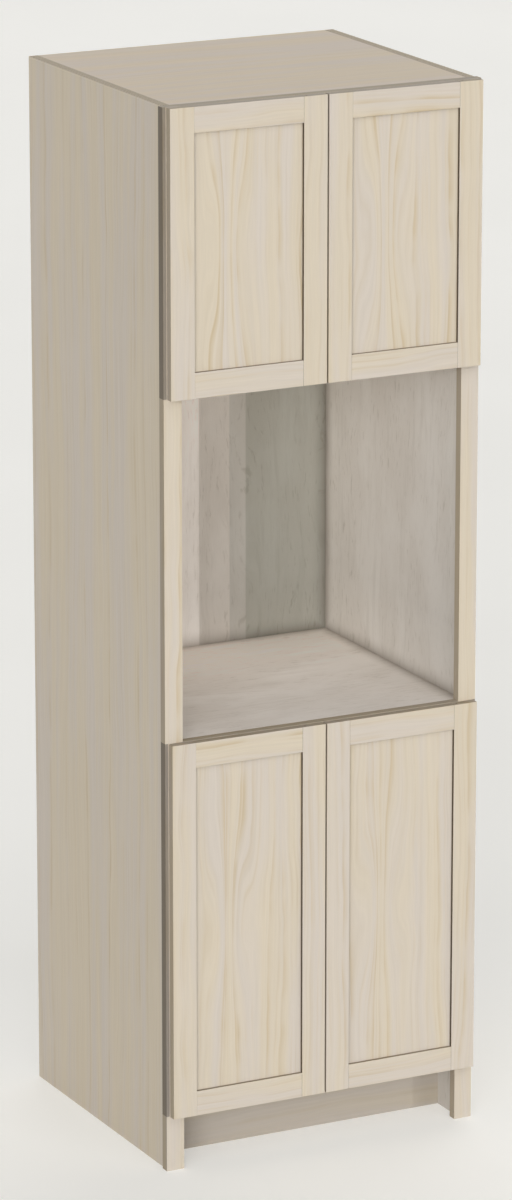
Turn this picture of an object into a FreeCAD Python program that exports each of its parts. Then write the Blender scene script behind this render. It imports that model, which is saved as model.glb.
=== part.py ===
"""Tall oven housing unit: a face-frame kitchen cabinet with an open bay for a built-in oven.

Frame: X to the right, Y to the back, Z up, millimetres. The origin is on the floor, in the middle
of the unit's width and of its whole depth, doors included. The fronts face -Y.

The unit is symmetric about the plane X = 0. Pieces on the left are modelled, and pieces on the
right are their mirror images. Every size is a cell of the sheet Size, and every place that is
worked out from the sizes is a cell of the sheet Place.
"""
import FreeCAD, Part
import os
import Sketcher

# Sizes that can be set by themselves, in millimetres and degrees.
SIZES = {
    # Whole unit
    "unit_height": 2133.6,
    "unit_width": 685.8,              # over the outer edges of the face frame
    "cabinet_depth": 609.6,           # from the front of the face frame to the back
    "stile_overhang": 4.7625,         # face frame past the outside of the side panels
    # Carcass boards
    "side_thickness": 19.05,
    "deck_thickness": 19.05,          # decks and top panel
    "back_thickness": 12.7,
    "groove_depth": 6.35,             # grooves of the side panels, for the tongues of the decks
    "tongue_thickness": 9.525,        # tongues of the decks and of the top panel
    "rabbet_depth": 9.525,            # housing of the back panel in the side panels
    # Toe space
    "toe_height": 114.3,
    "toe_setback": 95.25,             # from the front of the face frame
    "toe_board_thickness": 19.05,
    # Face frame
    "frame_thickness": 19.05,
    "frame_stile_width": 38.1,
    "frame_rail_height": 38.1,
    "tenon_thickness": 6.35,
    "tenon_length": 19.05,
    "tenon_shoulder": 6.35,
    "mortise_relief": 1.0,            # free space at the end of a tenon
    # Zones of the front, from the bottom up
    "lower_door_height": 768.35,
    "oven_opening_height": 685.8,
    # Doors
    "door_thickness": 17.5,
    "door_standoff": 2.0,             # back of the door to the front of the face frame
    "door_side_reveal": 6.35,         # face frame seen beside the door
    "door_center_gap": 3.2,
    "door_stile_width": 50.8,
    "door_rail_height": 50.8,
    "door_edge_round": 2.0,           # eased back edge on the hinge side
    "panel_thickness": 6.35,
    "panel_recess": 6.35,             # front of the panel behind the front of the door
    "panel_play": 0.3,                # groove wider than the panel
    "panel_edge_gap": 1.5,            # free space at the edges of the floating panel
    "door_groove_depth": 9.525,
    "stub_relief": 0.5,               # free space at the end of a stub tenon
    "bumper_diameter": 8.0,
    "bumper_inset": 14.0,             # from the free edge and from the end of the door
    # Shelves and their supports
    "shelf_thickness": 19.05,
    "shelf_side_gap": 1.6,
    "shelf_front_setback": 38.1,
    "shelf_back_gap": 3.0,
    "shelf_hole_diameter": 5.1,
    "shelf_hole_depth": 10.0,
    "shelf_hole_pitch": 32.0,
    "shelf_hole_inset": 60.0,         # hole rows from the front edge and from the back panel
    "support_plug_diameter": 5.0,
    "support_plug_length": 9.0,
    "support_tab_length": 9.0,
    "support_tab_width": 10.0,
    "support_tab_thickness": 5.0,
    "screw_clearance": 0.1,           # holes wider than the screws in them
    # Rails that take the wall screws, and cleats under the oven deck
    "wall_rail_height": 88.9,
    "wall_rail_thickness": 19.05,
    "wall_hole_spacing": 406.4,
    "wall_hole_diameter": 6.5,
    "cleat_thickness": 19.05,
    "cleat_height": 76.2,
    "cleat_setback": 25.4,            # from the front edge of the side panel
    "cleat_screw_inset": 50.0,
    "cleat_screw_length": 32.0,
    "cleat_screw_diameter": 4.5,
    "cleat_screw_head_diameter": 9.0,
    "cleat_screw_head_height": 2.6,
    # Concealed hinges: cup in the door, arm on the inner edge of the face frame
    "hinge_inset": 76.2,              # hinge centre from the end of the door
    "hinge_screw_diameter": 3.5,
    "cup_diameter": 35.0,
    "cup_edge_distance": 3.0,         # cup to the hinge-side edge of the door
    "cup_depth": 13.2,
    "cup_wall": 0.8,
    "bore_clearance": 0.2,            # bores wider and deeper than what sits in them
    "ear_thickness": 0.8,
    "ear_width": 14.0,
    "ear_length": 54.0,
    "cup_screw_spacing": 45.0,
    "cup_screw_offset": 9.5,          # screw line from the centre of the cup
    "cup_screw_length": 12.0,
    "cup_screw_head_diameter": 6.8,
    "cup_screw_head_height": 0.8,
    "pin_diameter": 2.4,
    "pin_length": 15.2,
    "pin_inset": 7.0,                 # pin axis from the hinge-side edge of the door
    "pin_depth": 9.4,                 # pin axis in front of the back of the door
    "pin_hole_clearance": 0.2,        # pin hole of the cup wider than the pin
    "lug_width": 3.8,
    "lug_span": 16.0,                 # outer faces of the two lugs that hold the pin
    "lug_gap": 0.5,                   # lug to arm
    "arm_thickness": 2.2,
    "arm_width": 9.0,
    "arm_floor_gap": 0.2,             # arm to the floor of the cup
    "arm_eye_diameter": 4.0,
    "arm_eye_clearance": 0.1,
    "plate_height": 40.0,
    "plate_depth": 16.0,
    "plate_setback": 1.5,             # plate behind the front of the face frame
    "arm_screw_spacing": 26.0,
    "arm_screw_length": 18.0,
    "arm_screw_head_diameter": 6.8,
    "arm_screw_head_height": 1.6,
}

# Number of support holes in each row.
SHELF_HOLE_COUNT = 9

# Least change of volume, in cubic millimetres, that counts as material added or cut away.
LEAST_CHANGE = 1e-3

# The two members of a pair that lie about a middle, and the sign that leads to each.
PAIR_SIGNS = {"first": "-", "second": "+"}

# Places that follow from the sizes.
PLACES = {
    # Depth, along Y
    "frame_front": "-(Size.cabinet_depth - Size.door_standoff - Size.door_thickness) / 2",
    "carcass_front": "Place.frame_front + Size.frame_thickness",
    "carcass_back": "Place.frame_front + Size.cabinet_depth",
    "back_front": "Place.carcass_back - Size.back_thickness",
    "door_back": "Place.frame_front - Size.door_standoff",
    "door_front": "Place.door_back - Size.door_thickness",
    "side_depth": "Size.cabinet_depth - Size.frame_thickness",
    "deck_depth": "Place.side_depth - Size.back_thickness",
    # Width, along X: distances from the middle plane
    "half_width": "Size.unit_width / 2",
    "side_outer": "Place.half_width - Size.stile_overhang",
    "side_inner": "Place.side_outer - Size.side_thickness",
    "inside_width": "2 * Place.side_inner",
    "frame_inner": "Place.half_width - Size.frame_stile_width",
    "frame_opening_width": "2 * Place.frame_inner",
    "door_outer": "Place.half_width - Size.door_side_reveal",
    "door_width": "Place.door_outer - Size.door_center_gap / 2",
    # Height, along Z
    "oven_deck_top": "Size.toe_height + Size.lower_door_height",
    "upper_door_bottom": "Place.oven_deck_top + Size.oven_opening_height",
    "upper_door_height": "Size.unit_height - Place.upper_door_bottom",
    "top_underside": "Size.unit_height - Size.deck_thickness",
    "base_floor_top": "Size.toe_height + Size.frame_rail_height",
    "base_floor_underside": "Place.base_floor_top - Size.deck_thickness",
    "oven_deck_underside": "Place.oven_deck_top - Size.deck_thickness",
    "upper_floor_top": "Place.upper_door_bottom + Size.frame_rail_height",
    "upper_floor_underside": "Place.upper_floor_top - Size.deck_thickness",
    "upper_wall_hole": "Place.top_underside - Size.wall_rail_height / 2",
    "lower_wall_hole": "Place.oven_deck_underside - Size.wall_rail_height / 2",
    "cleat_middle": "Place.oven_deck_underside - Size.cleat_height / 2",
    "upper_shelf_hole": "(Place.upper_floor_top + Place.top_underside) / 2",
    "lower_shelf_hole": "(Place.base_floor_top + Place.oven_deck_underside) / 2",
    # Door joinery, from the front of the door
    "groove_width": "Size.panel_thickness + Size.panel_play",
    "groove_front": "Size.panel_recess - Size.panel_play / 2",
    "groove_back": "Place.groove_front + Place.groove_width",
    "stub_length": "Size.door_groove_depth - Size.stub_relief",
    # Face frame joinery, from the front of the frame
    "tenon_front": "(Size.frame_thickness - Size.tenon_thickness) / 2",
    "tenon_back": "Place.tenon_front + Size.tenon_thickness",
    # Hinges, from the hinge-side edge of the door and from the front of the face frame
    "cup_centre": "Size.cup_edge_distance + Size.cup_diameter / 2",
    "cup_screw_line": "Place.cup_centre + Size.cup_screw_offset",
    "pin_forward": "Size.door_standoff + Size.pin_depth",
    "cup_floor_forward": "Size.door_standoff + Size.cup_depth - Size.cup_wall",
    "arm_far": "Place.cup_floor_forward - Size.arm_floor_gap",
    "arm_near": "Place.arm_far - Size.arm_thickness",
    "plate_outer": "Size.frame_stile_width - Size.door_side_reveal",
    "plate_inner": "Place.plate_outer + Size.arm_thickness",
    "plate_middle": "Size.plate_setback + Size.plate_depth / 2",
}

# Door rows: lower end and height.
ROWS = {
    "lower": ("Size.toe_height", "Size.lower_door_height"),
    "upper": ("Place.upper_door_bottom", "Place.upper_door_height"),
}

# Boards held between the side panels: height of the underside, and depth.
BOARDS_BETWEEN_SIDES = {
    "base_floor_panel": ("Place.base_floor_underside", "Place.deck_depth"),
    "oven_deck": ("Place.oven_deck_underside", "Place.deck_depth"),
    "upper_floor_panel": ("Place.upper_floor_underside", "Place.deck_depth"),
    "top_panel": ("Place.top_underside", "Place.side_depth"),
}

# Rails of the face frame and the height of the lower edge of each.
FRAME_RAILS = {
    "base_frame_rail": "Size.toe_height",
    "oven_sill_rail": "Place.oven_deck_top - Size.frame_rail_height",
    "oven_head_rail": "Place.upper_door_bottom",
    "top_frame_rail": "Size.unit_height - Size.frame_rail_height",
}

# Compartments with a shelf and the height of the hole that carries it.
SHELF_HOLES = {
    "upper": "Place.upper_shelf_hole",
    "lower": "Place.lower_shelf_hole",
}

ALONG_X = FreeCAD.Rotation(FreeCAD.Vector(0, 1, 0), 90)     # turns local Z to X
ALONG_Y = FreeCAD.Rotation(FreeCAD.Vector(1, 0, 0), -90)    # turns local Z to Y
UPRIGHT = FreeCAD.Rotation()

document = FreeCAD.newDocument("oven_housing_unit")
nodes = []


# ---------------------------------------------------------------- sheets and expressions

def fill_sheet(label, cells):
    """Adds a sheet whose column A names each value and whose column B holds it."""
    sheet = document.addObject("Spreadsheet::Sheet", label)
    for row, (alias, content) in enumerate(cells.items(), start=1):
        sheet.set(f"A{row}", alias)
        sheet.setAlias(f"B{row}", alias)
        sheet.set(f"B{row}", str(content))
    return sheet


def place_formulas():
    """Formulas of the sheet Place: its own cells are named there without the sheet's name."""
    return {alias: "=" + formula.replace("Place.", "") for alias, formula in PLACES.items()}


size_sheet = fill_sheet("Size", SIZES)
place_sheet = fill_sheet("Place", place_formulas())
document.recompute()


def evaluate(expression):
    """Present value of an expression over the two sheets."""
    return float(size_sheet.evalExpression(expression))


def put(item, across, deep, high):
    """Binds the position of an item to three expressions."""
    for axis, expression in zip("xyz", (across, deep, high)):
        item.setExpression(f"Placement.Base.{axis}", expression)


# ---------------------------------------------------------------- sketches and features

def new_body(label, across="0", deep="0", high="0"):
    """An empty body whose own origin lies at the given place."""
    body = document.addObject("PartDesign::Body", label)
    put(body, across, deep, high)
    return body


def origin_item(body, role):
    """A plane or axis of the body's own origin."""
    return next(item for item in body.Origin.OriginFeatures if item.Role == role)


def new_sketch(body, name, plane, offset="0"):
    """A sketch on an origin plane, moved along the plane's normal."""
    sketch = body.newObject("Sketcher::SketchObject", f"{body.Name}_{name}")
    sketch.AttachmentSupport = [(origin_item(body, plane), "")]
    sketch.MapMode = "FlatFace"
    sketch.setExpression("AttachmentOffset.Base.z", offset)
    return sketch


def constrain(sketch, constraint, name, expression):
    """Adds a dimension to a sketch and binds it to an expression."""
    sketch.renameConstraint(sketch.addConstraint(constraint), name)
    sketch.setExpression(f"Constraints.{name}", expression)


def draw_outline(sketch, corners):
    """Draws a closed outline with sides along the sketch's axes, from corner expressions."""
    first = sketch.GeometryCount
    count = len(corners)
    points = [FreeCAD.Vector(evaluate(x), evaluate(y), 0) for x, y in corners]
    for index in range(count):
        sketch.addGeometry(Part.LineSegment(points[index], points[(index + 1) % count]), False)
    for index in range(count):
        side = first + index
        after = (index + 1) % count
        sketch.addConstraint(Sketcher.Constraint("Coincident", side, 2, first + after, 1))
        if corners[index][0] == corners[after][0]:
            sketch.addConstraint(Sketcher.Constraint("Vertical", side))
            distance = Sketcher.Constraint("DistanceX", -1, 1, side, 1, points[index].x)
            constrain(sketch, distance, f"across_{side}", corners[index][0])
        else:
            sketch.addConstraint(Sketcher.Constraint("Horizontal", side))
            distance = Sketcher.Constraint("DistanceY", -1, 1, side, 1, points[index].y)
            constrain(sketch, distance, f"up_{side}", corners[index][1])


def draw_rectangle(sketch, left, bottom, right, top):
    """Draws a rectangle between four edge expressions."""
    draw_outline(sketch, [(left, bottom), (right, bottom), (right, top), (left, top)])


def draw_circle(sketch, across, up, diameter):
    """Draws a circle from expressions for its centre and its diameter."""
    centre = FreeCAD.Vector(evaluate(across), evaluate(up), 0)
    normal = FreeCAD.Vector(0, 0, 1)
    ring = sketch.addGeometry(Part.Circle(centre, normal, evaluate(diameter) / 2), False)
    from_axis = Sketcher.Constraint("DistanceX", -1, 1, ring, 3, centre.x)
    constrain(sketch, from_axis, f"across_{ring}", across)
    from_base = Sketcher.Constraint("DistanceY", -1, 1, ring, 3, centre.y)
    constrain(sketch, from_base, f"up_{ring}", up)
    width = Sketcher.Constraint("Diameter", ring, evaluate(diameter))
    constrain(sketch, width, f"diameter_{ring}", diameter)


def extrude(kind, sketch, length, backwards=False, centred=False):
    """Adds a pad or a pocket of a sketch to the sketch's body."""
    body = sketch.getParentGeoFeatureGroup()
    feature = body.newObject(f"PartDesign::{kind}", f"{sketch.Name}_{kind.lower()}")
    feature.Profile = sketch
    feature.Reversed = backwards
    feature.Midplane = centred
    feature.setExpression("Length", length)
    return feature


def pad(sketch, length, **options):
    """Raises a sketch along its normal."""
    return extrude("Pad", sketch, length, **options)


def pocket(sketch, length, **options):
    """Cuts a sketch into its body, against its normal."""
    return extrude("Pocket", sketch, length, **options)


def round_edge(body, point, radius):
    """Rounds the straight edge of the body that passes nearest to a local point."""
    document.recompute()
    base = body.Tip
    spot = Part.Vertex(point)
    edges = base.Shape.Edges
    nearest = min(range(len(edges)), key=lambda index: edges[index].distToShape(spot)[0])
    fillet = body.newObject("PartDesign::Fillet", f"{body.Name}_round")
    fillet.Base = (base, [f"Edge{nearest + 1}"])
    fillet.setExpression("Radius", radius)
    return fillet


def board(label, across, deep, high, length, depth, height):
    """A plain square-edged board."""
    box = document.addObject("Part::Box", label)
    box.setExpression("Length", length)
    box.setExpression("Width", depth)
    box.setExpression("Height", height)
    put(box, across, deep, high)
    return box


def rod(label, diameter, length, turn=UPRIGHT, across="0", deep="0", high="0"):
    """A round rod that starts at a place and runs along its turned Z axis."""
    cylinder = document.addObject("Part::Cylinder", label)
    cylinder.setExpression("Radius", f"{diameter} / 2")
    cylinder.setExpression("Height", length)
    cylinder.Placement = FreeCAD.Placement(FreeCAD.Vector(), turn)
    put(cylinder, across, deep, high)
    return cylinder


def fuse(label, base, tool):
    """One solid from two."""
    fusion = document.addObject("Part::Fuse", label)
    fusion.Base = base
    fusion.Tool = tool
    return fusion


# ---------------------------------------------------------------- copies, mirrors and groups

def copy_of(original, label, turn, across, deep, high):
    """A linked copy of a pattern piece at another place."""
    link = document.addObject("App::Link", label)
    link.LinkedObject = original
    link.Placement = FreeCAD.Placement(FreeCAD.Vector(), turn)
    put(link, across, deep, high)
    return link


def mirrored(label, original):
    """The mirror image of a left-hand piece, on the right of the middle plane."""
    mirror = document.addObject("Part::Mirroring", label)
    mirror.Source = original
    mirror.Normal = FreeCAD.Vector(1, 0, 0)
    return mirror


def group(label, members):
    """Identical small pieces that share one node, as separate solids."""
    compound = document.addObject("Part::Compound", label)
    compound.Links = members
    return compound


def keep(*items):
    """Marks finished sub-parts for export."""
    nodes.extend(items)


# ---------------------------------------------------------------- carcass

def make_side_panel():
    """Left side panel: grooves for the decks and the top, a rabbet for the back, support holes."""
    body = new_body("left_side_panel", "-Place.side_outer", "Place.carcass_front", "0")
    outline = new_sketch(body, "outline", "YZ_Plane")
    draw_rectangle(outline, "0", "0", "Place.side_depth", "Size.unit_height")
    pad(outline, "Size.side_thickness")

    grooves = new_sketch(body, "grooves", "YZ_Plane", "Size.side_thickness")
    for bottom, depth in BOARDS_BETWEEN_SIDES.values():
        draw_rectangle(grooves, "0", bottom, depth, f"{bottom} + Size.tongue_thickness")
    pocket(grooves, "Size.groove_depth")

    rabbet = new_sketch(body, "rabbet", "YZ_Plane", "Size.side_thickness")
    draw_rectangle(rabbet, "Place.deck_depth", "0", "Place.side_depth", "Place.top_underside")
    pocket(rabbet, "Size.rabbet_depth")

    pilots = new_sketch(body, "cleat_pilots", "YZ_Plane", "Size.side_thickness")
    pilot_diameter = "Size.cleat_screw_diameter + Size.screw_clearance"
    for deep in cleat_screw_depths():
        draw_circle(pilots, f"Size.cleat_setback + {deep}", "Place.cleat_middle", pilot_diameter)
    pocket(pilots, "Size.cleat_screw_length - Size.cleat_thickness + Size.mortise_relief")

    for row, middle_hole in SHELF_HOLES.items():
        add_support_holes(body, row, middle_hole)
    return body


def add_support_holes(body, row, middle_hole):
    """Two rows of shelf support holes, spread evenly about the hole that is in use."""
    lowest = f"{middle_hole} - {(SHELF_HOLE_COUNT - 1) // 2} * Size.shelf_hole_pitch"
    holes = new_sketch(body, f"{row}_holes", "YZ_Plane", "Size.side_thickness")
    for deep in support_depths():
        draw_circle(holes, deep, lowest, "Size.shelf_hole_diameter")
    drilled = pocket(holes, "Size.shelf_hole_depth")
    document.recompute()
    rows = body.newObject("PartDesign::LinearPattern", f"{body.Name}_{row}_rows")
    rows.Originals = [drilled]
    rows.Direction = (origin_item(body, "Z_Axis"), [""])
    rows.Occurrences = SHELF_HOLE_COUNT
    rows.setExpression("Length", f"{SHELF_HOLE_COUNT - 1} * Size.shelf_hole_pitch")
    body.Tip = rows


def support_depths():
    """Distances of the two hole rows from the front edge of the side panel."""
    return ("Size.shelf_hole_inset", "Place.deck_depth - Size.shelf_hole_inset")


def make_tongued_board(label, bottom, depth):
    """A board flush between the side panels, held by a tongue along the foot of each end."""
    body = new_body(label, "-Place.side_inner", "Place.carcass_front", bottom)
    section = new_sketch(body, "section", "YZ_Plane")
    draw_rectangle(section, "0", "0", depth, "Size.deck_thickness")
    pad(section, "Place.inside_width")
    tongues = new_sketch(body, "tongues", "YZ_Plane", "-Size.groove_depth")
    draw_rectangle(tongues, "0", "0", depth, "Size.tongue_thickness")
    pad(tongues, "Place.inside_width + 2 * Size.groove_depth")
    return body


def make_toe_board():
    """Toe-kick board, set back between the side panels under the base floor."""
    return board("toe_kick_board", "-Place.side_inner", "Place.frame_front + Size.toe_setback", "0",
                 "Place.inside_width", "Size.toe_board_thickness", "Place.base_floor_underside")


def drill_wall_holes(body, middle, heights, thickness):
    """Clearance holes for the wall screws, right through a board."""
    holes = new_sketch(body, "wall_holes", "XZ_Plane")
    for sign in PAIR_SIGNS.values():
        for height in heights:
            across = f"{middle} {sign} Size.wall_hole_spacing / 2"
            draw_circle(holes, across, height, "Size.wall_hole_diameter")
    pocket(holes, thickness)


def make_back_panel():
    """Back panel, from the floor to the top panel, in the rabbets of the side panels."""
    body = new_body("back_panel", "-Place.side_inner - Size.rabbet_depth", "Place.back_front", "0")
    width = "(Place.inside_width + 2 * Size.rabbet_depth)"
    outline = new_sketch(body, "outline", "XZ_Plane")
    draw_rectangle(outline, "0", "0", width, "Place.top_underside")
    pad(outline, "Size.back_thickness", backwards=True)
    heights = ("Place.lower_wall_hole", "Place.upper_wall_hole")
    drill_wall_holes(body, f"{width} / 2", heights, "Size.back_thickness")
    return body


def make_wall_rail(label, hole_height):
    """Rail in front of the back panel that the wall screws pass through."""
    body = new_body(label, "-Place.side_inner", "Place.back_front - Size.wall_rail_thickness",
                    f"{hole_height} - Size.wall_rail_height / 2")
    outline = new_sketch(body, "outline", "XZ_Plane")
    draw_rectangle(outline, "0", "0", "Place.inside_width", "Size.wall_rail_height")
    pad(outline, "Size.wall_rail_thickness", backwards=True)
    heights = ("Size.wall_rail_height / 2",)
    drill_wall_holes(body, "Place.inside_width / 2", heights, "Size.wall_rail_thickness")
    return body


def cleat_screw_depths():
    """Distances of the three screws of a cleat from the cleat's front end."""
    length = "(Place.deck_depth - Size.cleat_setback - Size.wall_rail_thickness)"
    return ("Size.cleat_screw_inset", f"{length} / 2", f"{length} - Size.cleat_screw_inset")


def make_deck_cleat():
    """Left cleat: carries the oven deck and its load, screwed to the side panel."""
    body = new_body("left_deck_cleat", "-Place.side_inner", "Place.carcass_front + Size.cleat_setback",
                    "Place.oven_deck_underside - Size.cleat_height")
    length = "Place.deck_depth - Size.cleat_setback - Size.wall_rail_thickness"
    outline = new_sketch(body, "outline", "YZ_Plane")
    draw_rectangle(outline, "0", "0", length, "Size.cleat_height")
    pad(outline, "Size.cleat_thickness")
    holes = new_sketch(body, "screw_holes", "YZ_Plane", "Size.cleat_thickness")
    hole_diameter = "Size.cleat_screw_diameter + Size.screw_clearance"
    for deep in cleat_screw_depths():
        draw_circle(holes, deep, "Size.cleat_height / 2", hole_diameter)
    pocket(holes, "Size.cleat_thickness")
    return body


# ---------------------------------------------------------------- screws and supports

def make_screw(label, kind):
    """Pan-head screw pattern: the seat of the head at the origin, the shank below it."""
    shank_diameter = "Size.cleat_screw_diameter" if kind == "cleat_screw" else "Size.hinge_screw_diameter"
    head = document.addObject("Part::Cone", f"{label}_head")
    head.setExpression("Radius1", f"Size.{kind}_head_diameter / 2")
    head.setExpression("Radius2", f"Size.{kind}_head_diameter / 2 - Size.{kind}_head_height / 2")
    head.setExpression("Height", f"Size.{kind}_head_height")
    length = f"Size.{kind}_length"
    shank = rod(f"{label}_shank", shank_diameter, length, high=f"-{length}")
    return fuse(label, head, shank)


def make_cleat_screws(pattern):
    """Screws of both cleats, their heads on the inner faces."""
    left = []
    for index, deep in enumerate(cleat_screw_depths()):
        left.append(copy_of(pattern, f"left_cleat_screw_{index}", ALONG_X,
                            "-Place.side_inner + Size.cleat_thickness",
                            f"Place.carcass_front + Size.cleat_setback + {deep}", "Place.cleat_middle"))
    left_screws = group("left_cleat_screws", left)
    return group("cleat_screws", [left_screws, mirrored("right_cleat_screws", left_screws)])


def make_support_pattern():
    """Shelf support pattern: a plug in the hole and a flat tab that carries the shelf."""
    plug = rod("support_plug", "Size.support_plug_diameter", "Size.support_plug_length",
               turn=ALONG_X, across="-Size.support_plug_length")
    tab = board("support_tab", "0", "-Size.support_tab_width / 2", "-Size.support_tab_thickness / 2",
                "Size.support_tab_length", "Size.support_tab_width", "Size.support_tab_thickness")
    return fuse("shelf_support", plug, tab)


def make_shelf_supports(pattern):
    """Four supports under each shelf."""
    left = []
    for row, hole in SHELF_HOLES.items():
        for index, deep in enumerate(support_depths()):
            left.append(copy_of(pattern, f"left_{row}_support_{index}", UPRIGHT,
                                "-Place.side_inner", f"Place.carcass_front + {deep}", hole))
    left_supports = group("left_shelf_supports", left)
    return group("shelf_supports", [left_supports, mirrored("right_shelf_supports", left_supports)])


def make_shelf(label, hole):
    """Loose shelf on its four supports."""
    length = "Place.inside_width - 2 * Size.shelf_side_gap"
    depth = "Place.deck_depth - Size.shelf_front_setback - Size.shelf_back_gap"
    return board(label, "-Place.side_inner + Size.shelf_side_gap",
                 "Place.carcass_front + Size.shelf_front_setback",
                 f"{hole} + Size.support_tab_thickness / 2", length, depth, "Size.shelf_thickness")


# ---------------------------------------------------------------- face frame

def hinge_heights(row):
    """Heights of the two hinge centres of a door."""
    bottom, height = ROWS[row]
    return (f"({bottom} + Size.hinge_inset)", f"({bottom} + {height} - Size.hinge_inset)")


def make_frame_stile():
    """Left stile of the face frame, with mortises and holes for the hinge screws."""
    body = new_body("left_frame_stile", "-Place.half_width", "Place.frame_front", "0")
    section = new_sketch(body, "section", "XY_Plane")
    draw_rectangle(section, "0", "0", "Size.frame_stile_width", "Size.frame_thickness")
    pad(section, "Size.unit_height")

    mortises = new_sketch(body, "mortises", "YZ_Plane", "Size.frame_stile_width")
    for rail_bottom in FRAME_RAILS.values():
        draw_rectangle(mortises, "Place.tenon_front", f"{rail_bottom} + Size.tenon_shoulder",
                       "Place.tenon_back",
                       f"{rail_bottom} + Size.frame_rail_height - Size.tenon_shoulder")
    pocket(mortises, "Size.tenon_length + Size.mortise_relief")

    pilots = new_sketch(body, "hinge_pilots", "YZ_Plane", "Size.frame_stile_width")
    pilot_diameter = "Size.hinge_screw_diameter + Size.screw_clearance"
    for row in ROWS:
        for height in hinge_heights(row):
            for sign in PAIR_SIGNS.values():
                draw_circle(pilots, "Place.plate_middle",
                            f"{height} {sign} Size.arm_screw_spacing / 2", pilot_diameter)
    pocket(pilots, "Size.arm_screw_length - Size.arm_thickness + Size.mortise_relief")
    return body


def make_frame_rail(label, bottom):
    """A rail of the face frame with a tenon at each end."""
    body = new_body(label, "-Place.frame_inner", "Place.frame_front", bottom)
    section = new_sketch(body, "section", "YZ_Plane")
    draw_rectangle(section, "0", "0", "Size.frame_thickness", "Size.frame_rail_height")
    pad(section, "Place.frame_opening_width")
    tenons = new_sketch(body, "tenons", "YZ_Plane", "-Size.tenon_length")
    draw_rectangle(tenons, "Place.tenon_front", "Size.tenon_shoulder", "Place.tenon_back",
                   "Size.frame_rail_height - Size.tenon_shoulder")
    pad(tenons, "Place.frame_opening_width + 2 * Size.tenon_length")
    return body


# ---------------------------------------------------------------- doors

def make_door_stile(label, row, hinge_side):
    """A stile of a left-hand door, grooved along its inner edge for panel and rails."""
    bottom, height = ROWS[row]
    width = "Size.door_stile_width"
    across = "-Place.door_outer"
    if not hinge_side:
        across = f"{across} + Place.door_width - {width}"
    body = new_body(label, across, "Place.door_front", bottom)
    plain_edge, grooved_edge = ("0", width) if hinge_side else (width, "0")
    groove_floor = f"{width} - Size.door_groove_depth" if hinge_side else "Size.door_groove_depth"
    section = new_sketch(body, "section", "XY_Plane")
    draw_outline(section, [
        (plain_edge, "0"), (grooved_edge, "0"),
        (grooved_edge, "Place.groove_front"), (groove_floor, "Place.groove_front"),
        (groove_floor, "Place.groove_back"), (grooved_edge, "Place.groove_back"),
        (grooved_edge, "Size.door_thickness"), (plain_edge, "Size.door_thickness"),
    ])
    pad(section, height)
    if hinge_side:
        bore_for_hinges(body, height)
        back_edge = FreeCAD.Vector(0, evaluate("Size.door_thickness"), evaluate(height) / 2)
        round_edge(body, back_edge, "Size.door_edge_round")
    return body


def bore_for_hinges(body, height):
    """Bores for the two hinge cups and for their screws, in the back of a hinge stile."""
    centres = ("Size.hinge_inset", f"{height} - Size.hinge_inset")
    bores = new_sketch(body, "cup_bores", "XZ_Plane", "-Size.door_thickness")
    pilots = new_sketch(body, "cup_pilots", "XZ_Plane", "-Size.door_thickness")
    for centre in centres:
        draw_circle(bores, "Place.cup_centre", centre, "Size.cup_diameter + Size.bore_clearance")
        for sign in PAIR_SIGNS.values():
            draw_circle(pilots, "Place.cup_screw_line", f"{centre} {sign} Size.cup_screw_spacing / 2",
                        "Size.hinge_screw_diameter + Size.screw_clearance")
    pocket(bores, "Size.cup_depth + Size.bore_clearance", backwards=True)
    pocket(pilots, "Size.cup_screw_length", backwards=True)


def make_door_rail(label, row, at_top):
    """A rail of a left-hand door: grooved towards the panel, with a stub tenon at each end."""
    bottom, height = ROWS[row]
    rail = "Size.door_rail_height"
    high = f"{bottom} + {height} - {rail}" if at_top else bottom
    body = new_body(label, "-Place.door_outer + Size.door_stile_width", "Place.door_front", high)
    plain_edge, grooved_edge = (rail, "0") if at_top else ("0", rail)
    groove_floor = "Size.door_groove_depth" if at_top else f"{rail} - Size.door_groove_depth"
    section = new_sketch(body, "section", "YZ_Plane")
    draw_outline(section, [
        ("0", plain_edge), ("Size.door_thickness", plain_edge),
        ("Size.door_thickness", grooved_edge), ("Place.groove_back", grooved_edge),
        ("Place.groove_back", groove_floor), ("Place.groove_front", groove_floor),
        ("Place.groove_front", grooved_edge), ("0", grooved_edge),
    ])
    pad(section, "Place.door_width - 2 * Size.door_stile_width")
    stubs = new_sketch(body, "stubs", "YZ_Plane", "-Place.stub_length")
    draw_rectangle(stubs, "Place.groove_front", plain_edge, "Place.groove_back", groove_floor)
    pad(stubs, "Place.door_width - 2 * Size.door_stile_width + 2 * Place.stub_length")
    return body


def make_door_panel(label, row):
    """The flat panel, floating in the grooves of stiles and rails."""
    bottom, height = ROWS[row]
    inset = "(Size.door_stile_width - Size.door_groove_depth + Size.panel_edge_gap)"
    rise = "(Size.door_rail_height - Size.door_groove_depth + Size.panel_edge_gap)"
    return board(label, f"-Place.door_outer + {inset}", "Place.door_front + Size.panel_recess",
                 f"{bottom} + {rise}", f"Place.door_width - 2 * {inset}", "Size.panel_thickness",
                 f"{height} - 2 * {rise}")


def make_door_bumpers(label, row):
    """Two bumpers on the back of a left-hand door, by its free edge."""
    bottom, height = ROWS[row]
    across = "-Place.door_outer + Place.door_width - Size.bumper_inset"
    heights = (f"{bottom} + Size.bumper_inset", f"{bottom} + {height} - Size.bumper_inset")
    bumpers = [rod(f"{label}_{index}", "Size.bumper_diameter", "Size.door_standoff", turn=ALONG_Y,
                   across=across, deep="Place.door_back", high=high)
               for index, high in enumerate(heights)]
    return group(label, bumpers)


# ---------------------------------------------------------------- hinges
# The pattern pieces of a hinge have their origin at the hinge-side edge of the door, in the plane
# of the front of the face frame, at the height of the middle of the hinge.

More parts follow.
